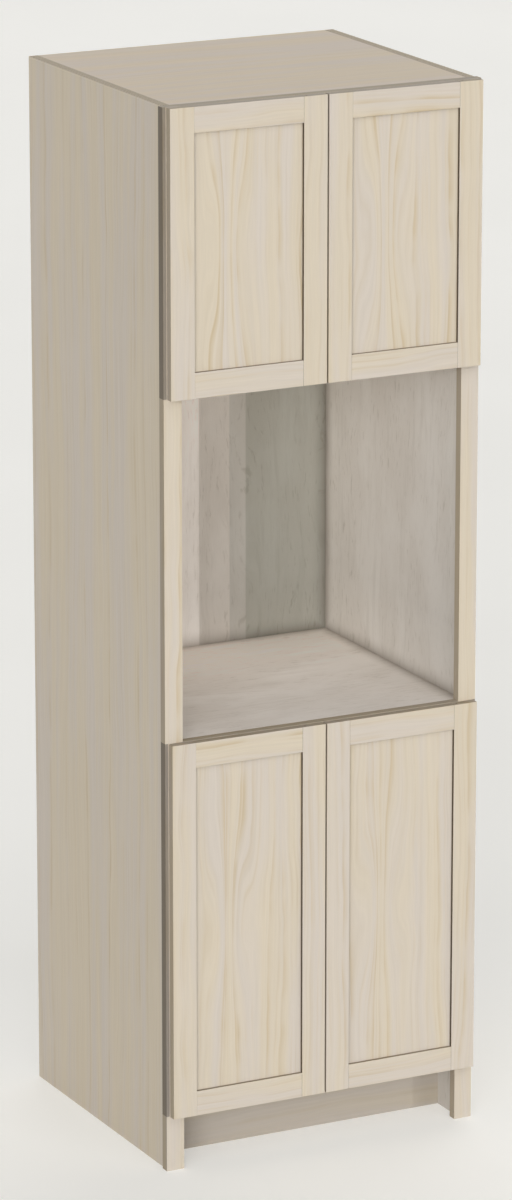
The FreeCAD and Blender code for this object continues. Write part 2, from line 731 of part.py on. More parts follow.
def make_cup_pattern():
    """Hinge cup: a round dish with two screw ears and two lugs that hold the pin."""
    body = new_body("hinge_cup")
    dish = new_sketch(body, "dish", "XZ_Plane", "Size.door_standoff")
    draw_circle(dish, "Place.cup_centre", "0", "Size.cup_diameter")
    pad(dish, "Size.cup_depth")

    rim = "Size.door_standoff - Size.ear_thickness"
    ears = new_sketch(body, "ears", "XZ_Plane", rim)
    draw_rectangle(ears, "Place.cup_screw_line - Size.ear_width / 2", "-Size.ear_length / 2",
                   "Place.cup_screw_line + Size.ear_width / 2", "Size.ear_length / 2")
    pad(ears, "Size.ear_thickness")

    hollow = new_sketch(body, "hollow", "XZ_Plane", rim)
    draw_circle(hollow, "Place.cup_centre", "0", "Size.cup_diameter - 2 * Size.cup_wall")
    pocket(hollow, "Size.cup_depth - Size.cup_wall + Size.ear_thickness", backwards=True)

    holes = new_sketch(body, "screw_holes", "XZ_Plane", rim)
    for sign in PAIR_SIGNS.values():
        draw_circle(holes, "Place.cup_screw_line", f"{sign}Size.cup_screw_spacing / 2",
                    "Size.hinge_screw_diameter + Size.screw_clearance")
    pocket(holes, "Size.ear_thickness", backwards=True)

    edges = ("Size.pin_inset - Size.lug_width / 2", "-Place.cup_floor_forward",
             "Size.pin_inset + Size.lug_width / 2", "-Place.pin_forward + Size.lug_width / 2")
    lugs = new_sketch(body, "lugs", "XY_Plane")
    draw_rectangle(lugs, *edges)
    pad(lugs, "Size.lug_span", centred=True)
    slot = new_sketch(body, "slot", "XY_Plane")
    draw_rectangle(slot, *edges)
    pocket(slot, "Size.arm_width + 2 * Size.lug_gap", centred=True)

    bore = new_sketch(body, "pin_bore", "XY_Plane")
    draw_circle(bore, "Size.pin_inset", "-Place.pin_forward", "Size.pin_diameter + Size.pin_hole_clearance")
    pocket(bore, "Size.pin_length + Size.pin_hole_clearance", centred=True)
    return body


def make_arm_pattern():
    """Hinge arm: an eye on the pin, a strip out of the cup and a plate on the face frame."""
    body = new_body("hinge_arm")
    strip = new_sketch(body, "strip", "XY_Plane")
    draw_outline(strip, [
        ("Size.pin_inset", "-Place.arm_far"), ("Place.plate_inner", "-Place.arm_far"),
        ("Place.plate_inner", "Size.plate_setback + Size.plate_depth"),
        ("Place.plate_outer", "Size.plate_setback + Size.plate_depth"),
        ("Place.plate_outer", "-Place.arm_near"), ("Size.pin_inset", "-Place.arm_near"),
    ])
    pad(strip, "Size.arm_width", centred=True)
    eye = new_sketch(body, "eye", "XY_Plane")
    draw_circle(eye, "Size.pin_inset", "-Place.pin_forward", "Size.arm_eye_diameter")
    pad(eye, "Size.arm_width", centred=True)

    plate = new_sketch(body, "plate", "XY_Plane")
    draw_rectangle(plate, "Place.plate_outer", "Size.plate_setback", "Place.plate_inner",
                   "Size.plate_setback + Size.plate_depth")
    pad(plate, "Size.plate_height", centred=True)

    bore = new_sketch(body, "pin_bore", "XY_Plane")
    draw_circle(bore, "Size.pin_inset", "-Place.pin_forward", "Size.pin_diameter + Size.arm_eye_clearance")
    pocket(bore, "Size.arm_width", centred=True)
    holes = new_sketch(body, "screw_holes", "YZ_Plane", "Place.plate_inner")
    for sign in PAIR_SIGNS.values():
        draw_circle(holes, "Place.plate_middle", f"{sign}Size.arm_screw_spacing / 2",
                    "Size.hinge_screw_diameter + Size.screw_clearance")
    pocket(holes, "Size.arm_thickness")

    bend = FreeCAD.Vector(evaluate("Place.plate_inner"), -evaluate("Place.arm_far"), 0)
    round_edge(body, bend, "Size.arm_thickness")
    return body


def make_pin_pattern():
    """Hinge pin, along Z, half of it on each side of the middle of the hinge."""
    return rod("hinge_pin", "Size.pin_diameter", "Size.pin_length", across="Size.pin_inset",
               deep="-Place.pin_forward", high="-Size.pin_length / 2")


def hinge_copies(pattern, label, row):
    """Copies of a hinge piece at the two hinges of a left-hand door."""
    return [copy_of(pattern, f"{label}_{index}", UPRIGHT, "-Place.door_outer", "Place.frame_front", high)
            for index, high in enumerate(hinge_heights(row))]


def pin_copies(pattern, label, row):
    """Copies of the pin at the two hinges of a left-hand door."""
    return [copy_of(pattern, f"{label}_{index}", UPRIGHT, "-Place.door_outer + Size.pin_inset",
                    "Place.frame_front - Place.pin_forward", f"{high} - Size.pin_length / 2")
            for index, high in enumerate(hinge_heights(row))]


def cup_screw_copies(pattern, label, row):
    """Screws of the cups of a left-hand door, driven forwards into the hinge stile."""
    return [copy_of(pattern, f"{label}_{index}_{member}", ALONG_Y,
                    "-Place.door_outer + Place.cup_screw_line",
                    "Place.door_back + Size.ear_thickness",
                    f"{high} {sign} Size.cup_screw_spacing / 2")
            for index, high in enumerate(hinge_heights(row)) for member, sign in PAIR_SIGNS.items()]


def arm_screw_copies(pattern, label, row):
    """Screws of the arms of a left-hand door, driven sideways into the face frame."""
    return [copy_of(pattern, f"{label}_{index}_{member}", ALONG_X,
                    "-Place.door_outer + Place.plate_inner",
                    "Place.frame_front + Place.plate_middle",
                    f"{high} {sign} Size.arm_screw_spacing / 2")
            for index, high in enumerate(hinge_heights(row)) for member, sign in PAIR_SIGNS.items()]


# ---------------------------------------------------------------- assembly

def build_carcass():
    """Boards of the carcass, its shelves, rails and cleats."""
    side = make_side_panel()
    keep(side, mirrored("right_side_panel", side))
    for label, (bottom, depth) in BOARDS_BETWEEN_SIDES.items():
        keep(make_tongued_board(label, bottom, depth))
    keep(make_back_panel(), make_toe_board())
    keep(make_wall_rail("upper_wall_rail", "Place.upper_wall_hole"))
    keep(make_wall_rail("lower_wall_rail", "Place.lower_wall_hole"))
    cleat = make_deck_cleat()
    keep(cleat, mirrored("right_deck_cleat", cleat))
    keep(make_cleat_screws(make_screw("cleat_screw", "cleat_screw")))
    for row, hole in SHELF_HOLES.items():
        keep(make_shelf(f"{row}_shelf", hole))
    keep(make_shelf_supports(make_support_pattern()))


def build_face_frame():
    """Stiles and rails of the face frame."""
    stile = make_frame_stile()
    keep(stile, mirrored("right_frame_stile", stile))
    for label, bottom in FRAME_RAILS.items():
        keep(make_frame_rail(label, bottom))


def build_doors():
    """The two left-hand doors, and their mirror images on the right."""
    cup = make_cup_pattern()
    cup_screw = make_screw("cup_screw", "cup_screw")
    for row in ROWS:
        left = f"{row}_left"
        pieces = {
            "door_hinge_stile": make_door_stile(f"{left}_door_hinge_stile", row, hinge_side=True),
            "door_meeting_stile": make_door_stile(f"{left}_door_meeting_stile", row, hinge_side=False),
            "door_top_rail": make_door_rail(f"{left}_door_top_rail", row, at_top=True),
            "door_bottom_rail": make_door_rail(f"{left}_door_bottom_rail", row, at_top=False),
            "door_panel": make_door_panel(f"{left}_door_panel", row),
            "door_bumpers": make_door_bumpers(f"{left}_door_bumpers", row),
            "hinge_cups": group(f"{left}_hinge_cups", hinge_copies(cup, f"{left}_cup", row)),
            "cup_screws": group(f"{left}_cup_screws",
                                cup_screw_copies(cup_screw, f"{left}_cup_screw", row)),
        }
        for name, piece in pieces.items():
            keep(piece, mirrored(f"{row}_right_{name}", piece))


def build_hinge_arms():
    """Arms, pins and arm screws, which stay on the face frame."""
    patterns = {
        "hinge_arm": (make_arm_pattern(), hinge_copies),
        "hinge_pin": (make_pin_pattern(), pin_copies),
        "arm_screw": (make_screw("arm_screw", "arm_screw"), arm_screw_copies),
    }
    for name, (pattern, place_copies) in patterns.items():
        copies = [piece for row in ROWS for piece in place_copies(pattern, f"{row}_{name}", row)]
        left = group(f"left_{name}s", copies)
        right = mirrored(f"right_{name}s", left)
        if name == "hinge_arm":
            keep(left, right)
        else:
            keep(group(f"{name}s", [left, right]))


# ---------------------------------------------------------------- checks and export

def check_features():
    """Stops if a feature failed, or if a pad added or a pocket cut nothing."""
    for item in document.Objects:
        faults = [word for word in item.State if word in ("Invalid", "Error")]
        if faults:
            raise RuntimeError(f"{item.Name}: {faults}")
        base = getattr(item, "BaseFeature", None)
        if item.isDerivedFrom("PartDesign::FeatureAddSub") and base is not None:
            change = item.Shape.Volume - base.Shape.Volume
            adds = item.TypeId == "PartDesign::Pad"
            if abs(change) < LEAST_CHANGE or (change > 0) != adds:
                raise RuntimeError(f"{item.Name} changes the volume by {change}")


def check_nodes():
    """Stops if a sub-part has no valid solid."""
    for item in nodes:
        shape = item.Shape
        if shape.isNull() or not shape.isValid() or not shape.Solids:
            raise RuntimeError(f"{item.Label} has no valid solid")


def export_nodes():
    """Writes each sub-part to its own file."""
    os.makedirs("parts", exist_ok=True)
    for item in nodes:
        item.Shape.exportStep(f"parts/{item.Label}.step")
        print(f"{item.Label}: {len(item.Shape.Solids)} solid(s), {item.Shape.Volume:.1f} mm3")
    print(f"{len(nodes)} nodes")


build_carcass()
build_face_frame()
build_doors()
build_hinge_arms()
document.recompute()
check_features()
check_nodes()
export_nodes()
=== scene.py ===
"""Looks of a tall oven housing unit: wood finishes, eased edges, hardware, studio and camera.

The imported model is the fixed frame. Everything is in metres in its frame: X to the right, Y to the
back, Z up, the origin on the floor in the middle, the fronts facing -Y. Boards and hinges are the
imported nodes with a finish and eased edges. Screws, shelf supports and bumpers are modelled here and
stand for their plain solids, at the places that those solids give.
"""
import logging
import math
from collections.abc import Callable, Sequence
from dataclasses import dataclass, replace
from enum import Enum

import bmesh
import bpy
from mathutils import Euler, Matrix, Vector


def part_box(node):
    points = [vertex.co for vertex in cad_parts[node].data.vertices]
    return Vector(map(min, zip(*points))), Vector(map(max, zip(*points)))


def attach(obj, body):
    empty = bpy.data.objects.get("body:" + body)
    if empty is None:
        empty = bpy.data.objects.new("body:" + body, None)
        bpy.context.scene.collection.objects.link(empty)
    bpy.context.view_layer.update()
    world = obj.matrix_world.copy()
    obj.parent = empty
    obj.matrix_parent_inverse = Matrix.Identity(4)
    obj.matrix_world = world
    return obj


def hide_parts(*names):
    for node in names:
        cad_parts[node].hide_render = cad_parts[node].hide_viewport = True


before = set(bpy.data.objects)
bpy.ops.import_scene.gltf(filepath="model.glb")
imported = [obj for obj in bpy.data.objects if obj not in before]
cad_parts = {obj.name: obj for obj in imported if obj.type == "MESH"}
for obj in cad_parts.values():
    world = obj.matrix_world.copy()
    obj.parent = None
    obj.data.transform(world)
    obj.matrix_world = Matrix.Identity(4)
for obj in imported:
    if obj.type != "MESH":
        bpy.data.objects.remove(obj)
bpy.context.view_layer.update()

MM = 0.001
MERGE_DISTANCE = 0.005 * MM
EASING_ANGLE = math.radians(40)
FLATNESS = math.radians(0.5)
FACING = 0.9
BACKWARDS = Vector((0.0, 1.0, 0.0))

Socket = bpy.types.NodeSocket
Value = Socket | float | Sequence[float]
Tone = tuple[float, float, float, float]

log = logging.getLogger("oven_housing")


class Axis(Enum):
    """An axis of the unit, by its index in a vector."""

    X = 0
    Y = 1
    Z = 2


class Side(Enum):
    """A hand of the unit, by the sign of X there."""

    LEFT = -1
    RIGHT = 1


class Row(Enum):
    """A row of doors."""

    LOWER = "lower"
    UPPER = "upper"


class Veneer(Enum):
    """What the broad face of a board shows."""

    PALE = "pale wood"
    GREY = "grey-beige plywood face"


class Edge(Enum):
    """What the narrow faces of a board show."""

    SOLID = "the board's own wood"
    PLIES = "the layers of plywood"
    BANDED = "the layers of plywood, and a band of veneer in front"


def tone(red: int, green: int, blue: int) -> Tone:
    """Gives a colour that is written as it looks on a screen, in linear light.

    Args:
        red: Red, 0 to 255.
        green: Green, 0 to 255.
        blue: Blue, 0 to 255.

    Returns:
        Linear red, green and blue, and an alpha of 1.
    """
    def linear(level: int) -> float:
        """Undoes the curve of the screen for one level."""
        share = level / 255
        return share / 12.92 if share <= 0.04045 else ((share + 0.055) / 1.055) ** 2.4

    return (linear(red), linear(green), linear(blue), 1.0)


# ---------------------------------------------------------------- places read from the frame


@dataclass(frozen=True)
class Box:
    """An upright box, by its lowest and highest corner."""

    low: Vector
    high: Vector

    @property
    def centre(self) -> Vector:
        """The middle of the box."""
        return (self.low + self.high) / 2

    @property
    def size(self) -> Vector:
        """The three edge lengths."""
        return self.high - self.low


def box_of(node: str) -> Box:
    """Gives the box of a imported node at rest."""
    low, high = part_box(node)
    return Box(Vector(low), Vector(high))


def inwards(box: Box) -> Vector:
    """Gives the direction along X from a box to the middle of the unit."""
    return Vector((-math.copysign(1.0, box.centre.x), 0.0, 0.0))


def door_place(row: Row, side: Side) -> str:
    """Gives what the nodes of a door begin with."""
    return f"{row.value}_{side.name.lower()}"


def door_places() -> list[str]:
    """Gives what the nodes of each door begin with, row by row."""
    return [door_place(row, side) for row in Row for side in Side]


def solids_of(node: str) -> list[Box]:
    """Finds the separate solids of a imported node.

    Args:
        node: Name of the node.

    Returns:
        The box of each solid, from the lowest to the highest, and from left to right.
    """
    mesh = bmesh.new()
    mesh.from_mesh(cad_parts[node].data)
    bmesh.ops.remove_doubles(mesh, verts=mesh.verts, dist=MERGE_DISTANCE)
    unseen = set(mesh.verts)
    boxes = []
    while unseen:
        island = set()
        front = [unseen.pop()]
        while front:
            vertex = front.pop()
            island.add(vertex.co.copy().freeze())
            for edge in vertex.link_edges:
                other = edge.other_vert(vertex)
                if other in unseen:
                    unseen.remove(other)
                    front.append(other)
        low = Vector(min(point[axis] for point in island) for axis in range(3))
        high = Vector(max(point[axis] for point in island) for axis in range(3))
        boxes.append(Box(low, high))
    mesh.free()
    return sorted(boxes, key=lambda box: (round(box.centre.z, 4), round(box.centre.x, 4), box.centre.y))


# ---------------------------------------------------------------- shader graphs


class Graph:
    """Short ways to add and join the nodes of one node tree."""

    def __init__(self, tree: bpy.types.NodeTree) -> None:
        """Starts on a tree that may already hold nodes."""
        self.tree = tree

    def add(self, kind: str, **settings: object) -> bpy.types.Node:
        """Adds a node and sets its properties.

        Args:
            kind: Node type without the ShaderNode prefix.
            settings: Properties of the node.

        Returns:
            The new node.
        """
        prefix = "" if kind.startswith("NodeGroup") else "ShaderNode"
        node = self.tree.nodes.new(prefix + kind)
        for name, value in settings.items():
            setattr(node, name, value)
        return node

    def feed(self, target: Socket, value: Value) -> None:
        """Links a socket to an input, or sets the input's own value."""
        if isinstance(value, bpy.types.NodeSocket):
            self.tree.links.new(value, target)
        else:
            target.default_value = value

    def math(self, operation: str, *values: Value, clamp: bool = False) -> Socket:
        """Adds a Math node and returns its result."""
        node = self.add("Math", operation=operation, use_clamp=clamp)
        for target, value in zip(node.inputs, values):
            self.feed(target, value)
        return node.outputs[0]

    def scale_vector(self, vector: Socket, factors: Sequence[float]) -> Socket:
        """Multiplies a vector by a factor along each axis."""
        node = self.add("VectorMath", operation="MULTIPLY")
        self.feed(node.inputs[0], vector)
        self.feed(node.inputs[1], factors)
        return node.outputs[0]

    def split(self, vector: Socket) -> tuple[Socket, Socket, Socket]:
        """Separates a vector into its three parts."""
        node = self.add("SeparateXYZ")
        self.feed(node.inputs[0], vector)
        return tuple(node.outputs)

    def combine(self, first: Value, second: Value, third: Value) -> Socket:
        """Makes a vector of three values."""
        node = self.add("CombineXYZ")
        for target, value in zip(node.inputs, (first, second, third)):
            self.feed(target, value)
        return node.outputs[0]

    def noise(self, vector: Socket, detail: float = 2.0, roughness: float = 0.5) -> Socket:
        """Adds a 3-D noise over a vector that is already scaled, and returns its value."""
        node = self.add("TexNoise", noise_dimensions="3D")
        self.feed(node.inputs["Vector"], vector)
        node.inputs["Scale"].default_value = 1.0
        node.inputs["Detail"].default_value = detail
        node.inputs["Roughness"].default_value = roughness
        return node.outputs["Fac"]

    def remap(self, value: Value, source: tuple[float, float], target: tuple[float, float],
              smooth: bool = True) -> Socket:
        """Maps a range of values to another, held at its ends.

        Args:
            value: The value to map.
            source: The values that give the two target values.
            target: The values given.
            smooth: Eases in and out of the ends.

        Returns:
            The mapped value.
        """
        node = self.add("MapRange", interpolation_type="SMOOTHSTEP" if smooth else "LINEAR", clamp=True)
        self.feed(node.inputs["Value"], value)
        names = ("From Min", "From Max", "To Min", "To Max")
        for name, number in zip(names, (*source, *target)):
            node.inputs[name].default_value = number
        return node.outputs["Result"]

    def mix(self, factor: Value, first: Value, second: Value, blend: str = "MIX") -> Socket:
        """Mixes two colours."""
        node = self.add("Mix", data_type="RGBA", blend_type=blend)
        self.feed(node.inputs["Factor"], factor)
        self.feed(node.inputs[6], first)
        self.feed(node.inputs[7], second)
        return node.outputs[2]

    def tint(self, colour: Socket, shade: Value) -> Socket:
        """Multiplies a colour by another."""
        return self.mix(1.0, colour, shade, blend="MULTIPLY")

    def brighten(self, colour: Socket, value: Value) -> Socket:
        """Multiplies a colour by a grey value."""
        return self.tint(colour, self.combine(value, value, value))

    def bump(self, shader: bpy.types.Node, height: Socket, strength: float, distance: float) -> None:
        """Gives a shader its relief."""
        node = self.add("Bump")
        node.inputs["Strength"].default_value = strength
        node.inputs["Distance"].default_value = distance
        self.feed(node.inputs["Height"], height)
        self.feed(shader.inputs["Normal"], node.outputs["Normal"])


def new_material(name: str) -> tuple[bpy.types.Material, Graph, bpy.types.Node]:
    """Makes a material, and gives it with its graph and its shader."""
    material = bpy.data.materials.new(name)
    material.use_nodes = True
    return material, Graph(material.node_tree), material.node_tree.nodes["Principled BSDF"]


class FinishGroup:
    """A node group that turns a point of a board into colour, roughness and height.

    The point is given in the board's own axes: across the grain, through the board, along the grain.
    """

    name = "finish"

    def __init__(self) -> None:
        """Builds the group."""
        self.tree = bpy.data.node_groups.new(self.name, "ShaderNodeTree")
        sockets = (("Point", "Vector", "INPUT"), ("Seed", "Float", "INPUT"), ("Pinch", "Float", "INPUT"),
                   ("Figure", "Float", "INPUT"), ("Color", "Color", "OUTPUT"),
                   ("Roughness", "Float", "OUTPUT"), ("Height", "Float", "OUTPUT"))
        for name, kind, flow in sockets:
            self.tree.interface.new_socket(name, in_out=flow, socket_type=f"NodeSocket{kind}")
        graph = Graph(self.tree)
        inputs = graph.add("NodeGroupInput").outputs
        outputs = graph.add("NodeGroupOutput")
        growth = Growth(graph, inputs["Point"], inputs["Seed"], inputs["Pinch"], inputs["Figure"])
        results = self.weave(graph, growth)
        for target, value in zip(outputs.inputs, results):
            graph.feed(target, value)

    def weave(self, graph: Graph, growth: "Growth") -> tuple[Socket, Socket, Socket]:
        """Makes the pattern.

        Args:
            graph: The group's graph.
            growth: Where the point lies in the wood.

        Returns:
            Colour, roughness and height.
        """
        raise NotImplementedError

    def use(self, graph: Graph, point: Socket, look: "BoardLook") -> list[Socket]:
        """Adds the group to another graph, and gives its colour, roughness and height at a point."""
        node = graph.add("Group", node_tree=self.tree)
        graph.feed(node.inputs["Point"], point)
        node.inputs["Seed"].default_value = look.seed
        node.inputs["Pinch"].default_value = look.pinch
        node.inputs["Figure"].default_value = look.figure
        return list(node.outputs)


class Growth:
    """Where a point of a board lies in the wood that the board was cut from."""

    seed_step = 0.731
    slant = 0.6
    drift_scale = (7.0, 7.0, 1.3)
    wave_scale = (14.0, 14.0, 6.5)
    pinch_place = -0.045
    pinch_width = 0.036
    pinch_height = 0.17

    def __init__(self, graph: Graph, point: Socket, seed: Socket, pinch: Socket, figure: Socket) -> None:
        """Takes a point in the board's axes, from the board's middle.

        Args:
            graph: The graph to add to.
            point: The point: across the grain, through the board and along the grain.
            seed: A number that no other board has.
            pinch: How strongly the lines of growth draw together near the middle of the board.
            figure: Strength of the lines of growth.
        """
        self.graph = graph
        self.across, self.through, self.along = graph.split(point)
        self.shift = graph.math("MULTIPLY", seed, self.seed_step)
        place = graph.add("VectorMath", operation="ADD")
        graph.feed(place.inputs[0], point)
        graph.feed(place.inputs[1], graph.combine(self.shift, self.shift, self.shift))
        self.place = place.outputs[0]
        self.pinch = pinch
        self.figure = figure

    def noise(self, per_metre: Sequence[float], detail: float = 2.0, roughness: float = 0.5) -> Socket:
        """Adds a noise in the wood, with its scale across, through and along the board."""
        return self.graph.noise(self.graph.scale_vector(self.place, per_metre), detail, roughness)

    def bell(self, value: Socket, reach: float) -> Socket:
        """Gives 1 where a value is 0, and falls off over a reach."""
        share = self.graph.math("DIVIDE", value, reach)
        square = self.graph.math("MULTIPLY", share, share)
        return self.graph.math("EXPONENT", self.graph.math("MULTIPLY", square, -1.0))

    def bent(self, wander: float, ripple: float) -> Socket:
        """Bends the lines of growth: they wander, ripple, and draw together in one place.

        Args:
            wander: How far a line wanders sideways along the board, in metres.
            ripple: How far a line ripples sideways, in metres.

        Returns:
            The coordinate across the lines.
        """
        graph = self.graph
        slanted = graph.math("MULTIPLY_ADD", self.through, self.slant, self.across)
        from_pinch = graph.math("SUBTRACT", slanted, self.pinch_place)
        near = graph.math("MULTIPLY", self.bell(from_pinch, self.pinch_width),
                          self.bell(self.along, self.pinch_height))
        pull = graph.math("MULTIPLY", graph.math("MULTIPLY", from_pinch, near), self.pinch)
        drift = graph.math("SUBTRACT", self.noise(self.drift_scale, roughness=0.45), 0.5)
        wave = graph.math("SUBTRACT", self.noise(self.wave_scale, roughness=0.45), 0.5)
        wandering = graph.math("MULTIPLY_ADD", drift, 2.0 * wander, self.shift)
        wandering = graph.math("MULTIPLY_ADD", wave, 2.0 * ripple, wandering)
        return graph.math("ADD", graph.math("ADD", slanted, pull), wandering)

    def streaks(self, bent: Socket, across: float, along: float, detail: float = 2.0,
                roughness: float = 0.5) -> Socket:
        """Adds a noise that follows the lines of growth.

        Args:
            bent: The coordinate across the lines.
            across: Scale across the lines, per metre.
            along: Scale along the lines, per metre.
            detail: Octaves of the noise.
            roughness: Share of the finer octaves.

        Returns:
            The noise.
        """
        graph = self.graph
        vector = graph.combine(graph.math("MULTIPLY", bent, across),
                               graph.math("MULTIPLY", self.through, across),
                               graph.math("MULTIPLY_ADD", self.along, along, self.shift))
        return graph.noise(vector, detail, roughness)


class PaleWood(FinishGroup):
    """Pale, flat-sawn wood: cream and greyish lilac bands with thin honey lines of growth."""

    name = "pale_wood"
    cream = tone(219, 207, 187)
    lilac = tone(216, 206, 194)
    honey = tone(204, 185, 152)
    band_scale = (24.0, 1.2)
    streak_scale = (230.0, 3.0)
    fibre_scale = (1500.0, 1500.0, 22.0)
    fade_scale = (14.0, 7.0)
    line_spacing = 34 * MM
    fine_share = 0.37
    fine_strength = 0.35
    line_rise = 3.0 * MM
    line_fall = 13.0 * MM
    pair_reach = 21.0 * MM
    pair_strength = (0.40, 0.90)

    def weave(self, graph: Graph, growth: Growth) -> tuple[Socket, Socket, Socket]:
        """Makes bands, lines of growth, fine streaks and fibres."""
        bent = growth.bent(wander=0.030, ripple=0.008)
        broad = self.lines(growth, bent, self.line_spacing, 1.0)
        fine = self.lines(growth, bent, self.line_spacing * self.fine_share, self.fine_strength)
        figure = graph.math("MAXIMUM", broad, fine)
        figure = graph.math("MAXIMUM", figure, self.pair(growth, bent))
        figure = graph.math("MULTIPLY", figure, growth.figure)
        bands = growth.streaks(bent, *self.band_scale)
        streaks = growth.streaks(bent, *self.streak_scale, detail=3.0, roughness=0.6)
        fibres = growth.noise(self.fibre_scale, detail=1.0)

        colour = graph.mix(graph.remap(bands, (0.38, 0.64), (0.0, 1.0)), self.cream, self.lilac)
        colour = graph.mix(figure, colour, self.honey)
        colour = graph.brighten(colour, graph.remap(streaks, (0.30, 0.70), (0.975, 1.02)))
        colour = graph.brighten(colour, graph.remap(fibres, (0.25, 0.75), (0.98, 1.015)))
        roughness = graph.math("SUBTRACT", graph.remap(fibres, (0.3, 0.7), (0.50, 0.60)),
                               graph.math("MULTIPLY", figure, 0.07))
        height = graph.math("MULTIPLY_ADD", streaks, 0.6, graph.math("MULTIPLY", fibres, 0.4))
        return colour, roughness, height

    def lines(self, growth: Growth, bent: Socket, spacing: float, strength: float) -> Socket:
        """Makes lines of growth: steep on one side, soft on the other, uneven in strength.

        Args:
            growth: Where the point lies in the wood.
            bent: The coordinate across the lines.
            spacing: Mean distance between the lines, in metres.
            strength: Strength of the strongest line.

        Returns:
            The lines, from 0 to the given strength.
        """
        graph = growth.graph
        cells = graph.add("TexVoronoi", voronoi_dimensions="1D", feature="F1")
        graph.feed(cells.inputs["W"], bent)
        cells.inputs["Scale"].default_value = 1.0 / spacing
        cells.inputs["Randomness"].default_value = 1.0
        offset = graph.math("SUBTRACT", bent, cells.outputs["W"])
        line = self.profile(graph, offset, self.line_fall * spacing / self.line_spacing)
        chance = graph.split(cells.outputs["Color"])[0]
        own = graph.remap(chance, (0.1, 0.9), (0.10, strength), smooth=False)
        fade = graph.remap(growth.streaks(bent, *self.fade_scale), (0.36, 0.62), (0.15, 1.0))
        return graph.math("MULTIPLY", graph.math("MULTIPLY", line, own), fade)

    def pair(self, growth: Growth, bent: Socket) -> Socket:
        """Makes the two strong lines that draw together in the middle of a door panel.

        Args:
            growth: Where the point lies in the wood.
            bent: The coordinate across the lines.

        Returns:
            The two lines, or 0 on a board that is no panel.
        """
        graph = growth.graph
        from_middle = graph.math("SUBTRACT", graph.math("SUBTRACT", bent, growth.shift), growth.pinch_place)
        offset = graph.math("SUBTRACT", graph.math("ABSOLUTE", from_middle), self.pair_reach)
        line = self.profile(graph, offset, self.line_fall)
        fade = graph.remap(growth.streaks(bent, *self.fade_scale), (0.34, 0.60), self.pair_strength)
        on_panel = graph.math("GREATER_THAN", growth.pinch, 0.0)
        return graph.math("MULTIPLY", graph.math("MULTIPLY", line, fade), on_panel)

    def profile(self, graph: Graph, offset: Socket, reach: float) -> Socket:
        """Makes one line across its width: a short rise, and a long soft fall over a reach."""
        rise = graph.remap(offset, (-self.line_rise, 0.0), (0.0, 1.0))
        fall = graph.remap(offset, (0.0, reach), (1.0, 0.0), smooth=False)
        return graph.math("MULTIPLY", rise, graph.math("POWER", fall, 2.0))


class GreyPlywood(FinishGroup):
    """Grey-beige plywood face: softly mottled, with short darker wisps along the grain."""

    name = "grey_plywood"
    plain = tone(219, 213, 205)
    shade = tone(198, 191, 181)
    light = tone(226, 221, 214)
    mottle_scale = (9.0, 9.0, 4.5)
    wisp_scale = (230.0, 30.0)
    grain_scale = (70.0, 6.0)
    fibre_scale = (1300.0, 1300.0, 60.0)

    def weave(self, graph: Graph, growth: Growth) -> tuple[Socket, Socket, Socket]:
        """Makes soft mottling, wisps, broader grain and fibres."""
        bent = growth.bent(wander=0.070, ripple=0.014)
        mottle = growth.noise(self.mottle_scale, detail=3.0, roughness=0.6)
        wisps = growth.streaks(bent, *self.wisp_scale, detail=3.0, roughness=0.6)
        grain = growth.streaks(bent, *self.grain_scale, detail=3.0, roughness=0.6)
        fibres = growth.noise(self.fibre_scale, detail=1.0)

        colour = graph.mix(graph.remap(mottle, (0.36, 0.66), (0.0, 1.0)), self.plain, self.light)
        colour = graph.mix(graph.remap(grain, (0.50, 0.74), (0.0, 0.30)), colour, self.shade)
        dark = graph.math("MULTIPLY", graph.remap(wisps, (0.56, 0.70), (0.0, 0.75)),
                          graph.remap(mottle, (0.42, 0.60), (1.0, 0.30)))
        colour = graph.mix(dark, colour, self.shade)
        colour = graph.brighten(colour, graph.remap(fibres, (0.25, 0.75), (0.98, 1.012)))
        roughness = graph.remap(fibres, (0.3, 0.7), (0.46, 0.58))
        height = graph.math("MULTIPLY_ADD", wisps, 0.4, graph.math("MULTIPLY", fibres, 0.6))
        return colour, roughness, height


class PlyLayers(FinishGroup):
    """Edge of a plywood board: long-grain and end-grain layers with thin lines of glue."""

    name = "ply_layers"
    long_grain = tone(206, 193, 172)
    end_grain = tone(176, 160, 137)
    glue = tone(140, 122, 98)
    layer = 2.72 * MM
    glue_line = 0.10
    first_layer = 1000.0
    wave_scale = (11.0, 11.0, 11.0)
    pore_scale = (900.0, 500.0, 900.0)
    fibre_scale = (700.0, 900.0, 700.0)

    def weave(self, graph: Graph, growth: Growth) -> tuple[Socket, Socket, Socket]:
        """Makes the layers, which lie across the second axis of the board."""
        depth = graph.math("DIVIDE", growth.through, self.layer)
        wave = growth.noise(self.wave_scale, detail=1.0)
        depth = graph.math("ADD", graph.math("MULTIPLY_ADD", wave, 0.16, depth), self.first_layer)
        odd = graph.math("GREATER_THAN", graph.math("MODULO", depth, 2.0), 1.0)
        to_glue = graph.math("PINGPONG", graph.math("FRACT", depth), 0.5)
        glue = graph.math("LESS_THAN", to_glue, self.glue_line / 2)
        pores = growth.noise(self.pore_scale, roughness=0.6)
        fibres = growth.noise(self.fibre_scale, detail=1.0)
        colour = graph.mix(odd, self.long_grain, self.end_grain)
        colour = graph.brighten(colour, graph.remap(pores, (0.3, 0.7), (0.92, 1.05)))
        colour = graph.mix(glue, colour, self.glue)
        roughness = graph.remap(pores, (0.3, 0.7), (0.62, 0.74))
        height = graph.math("SUBTRACT", fibres, graph.math("MULTIPLY", glue, 0.5))
        return colour, roughness, height


# ---------------------------------------------------------------- finishes of boards


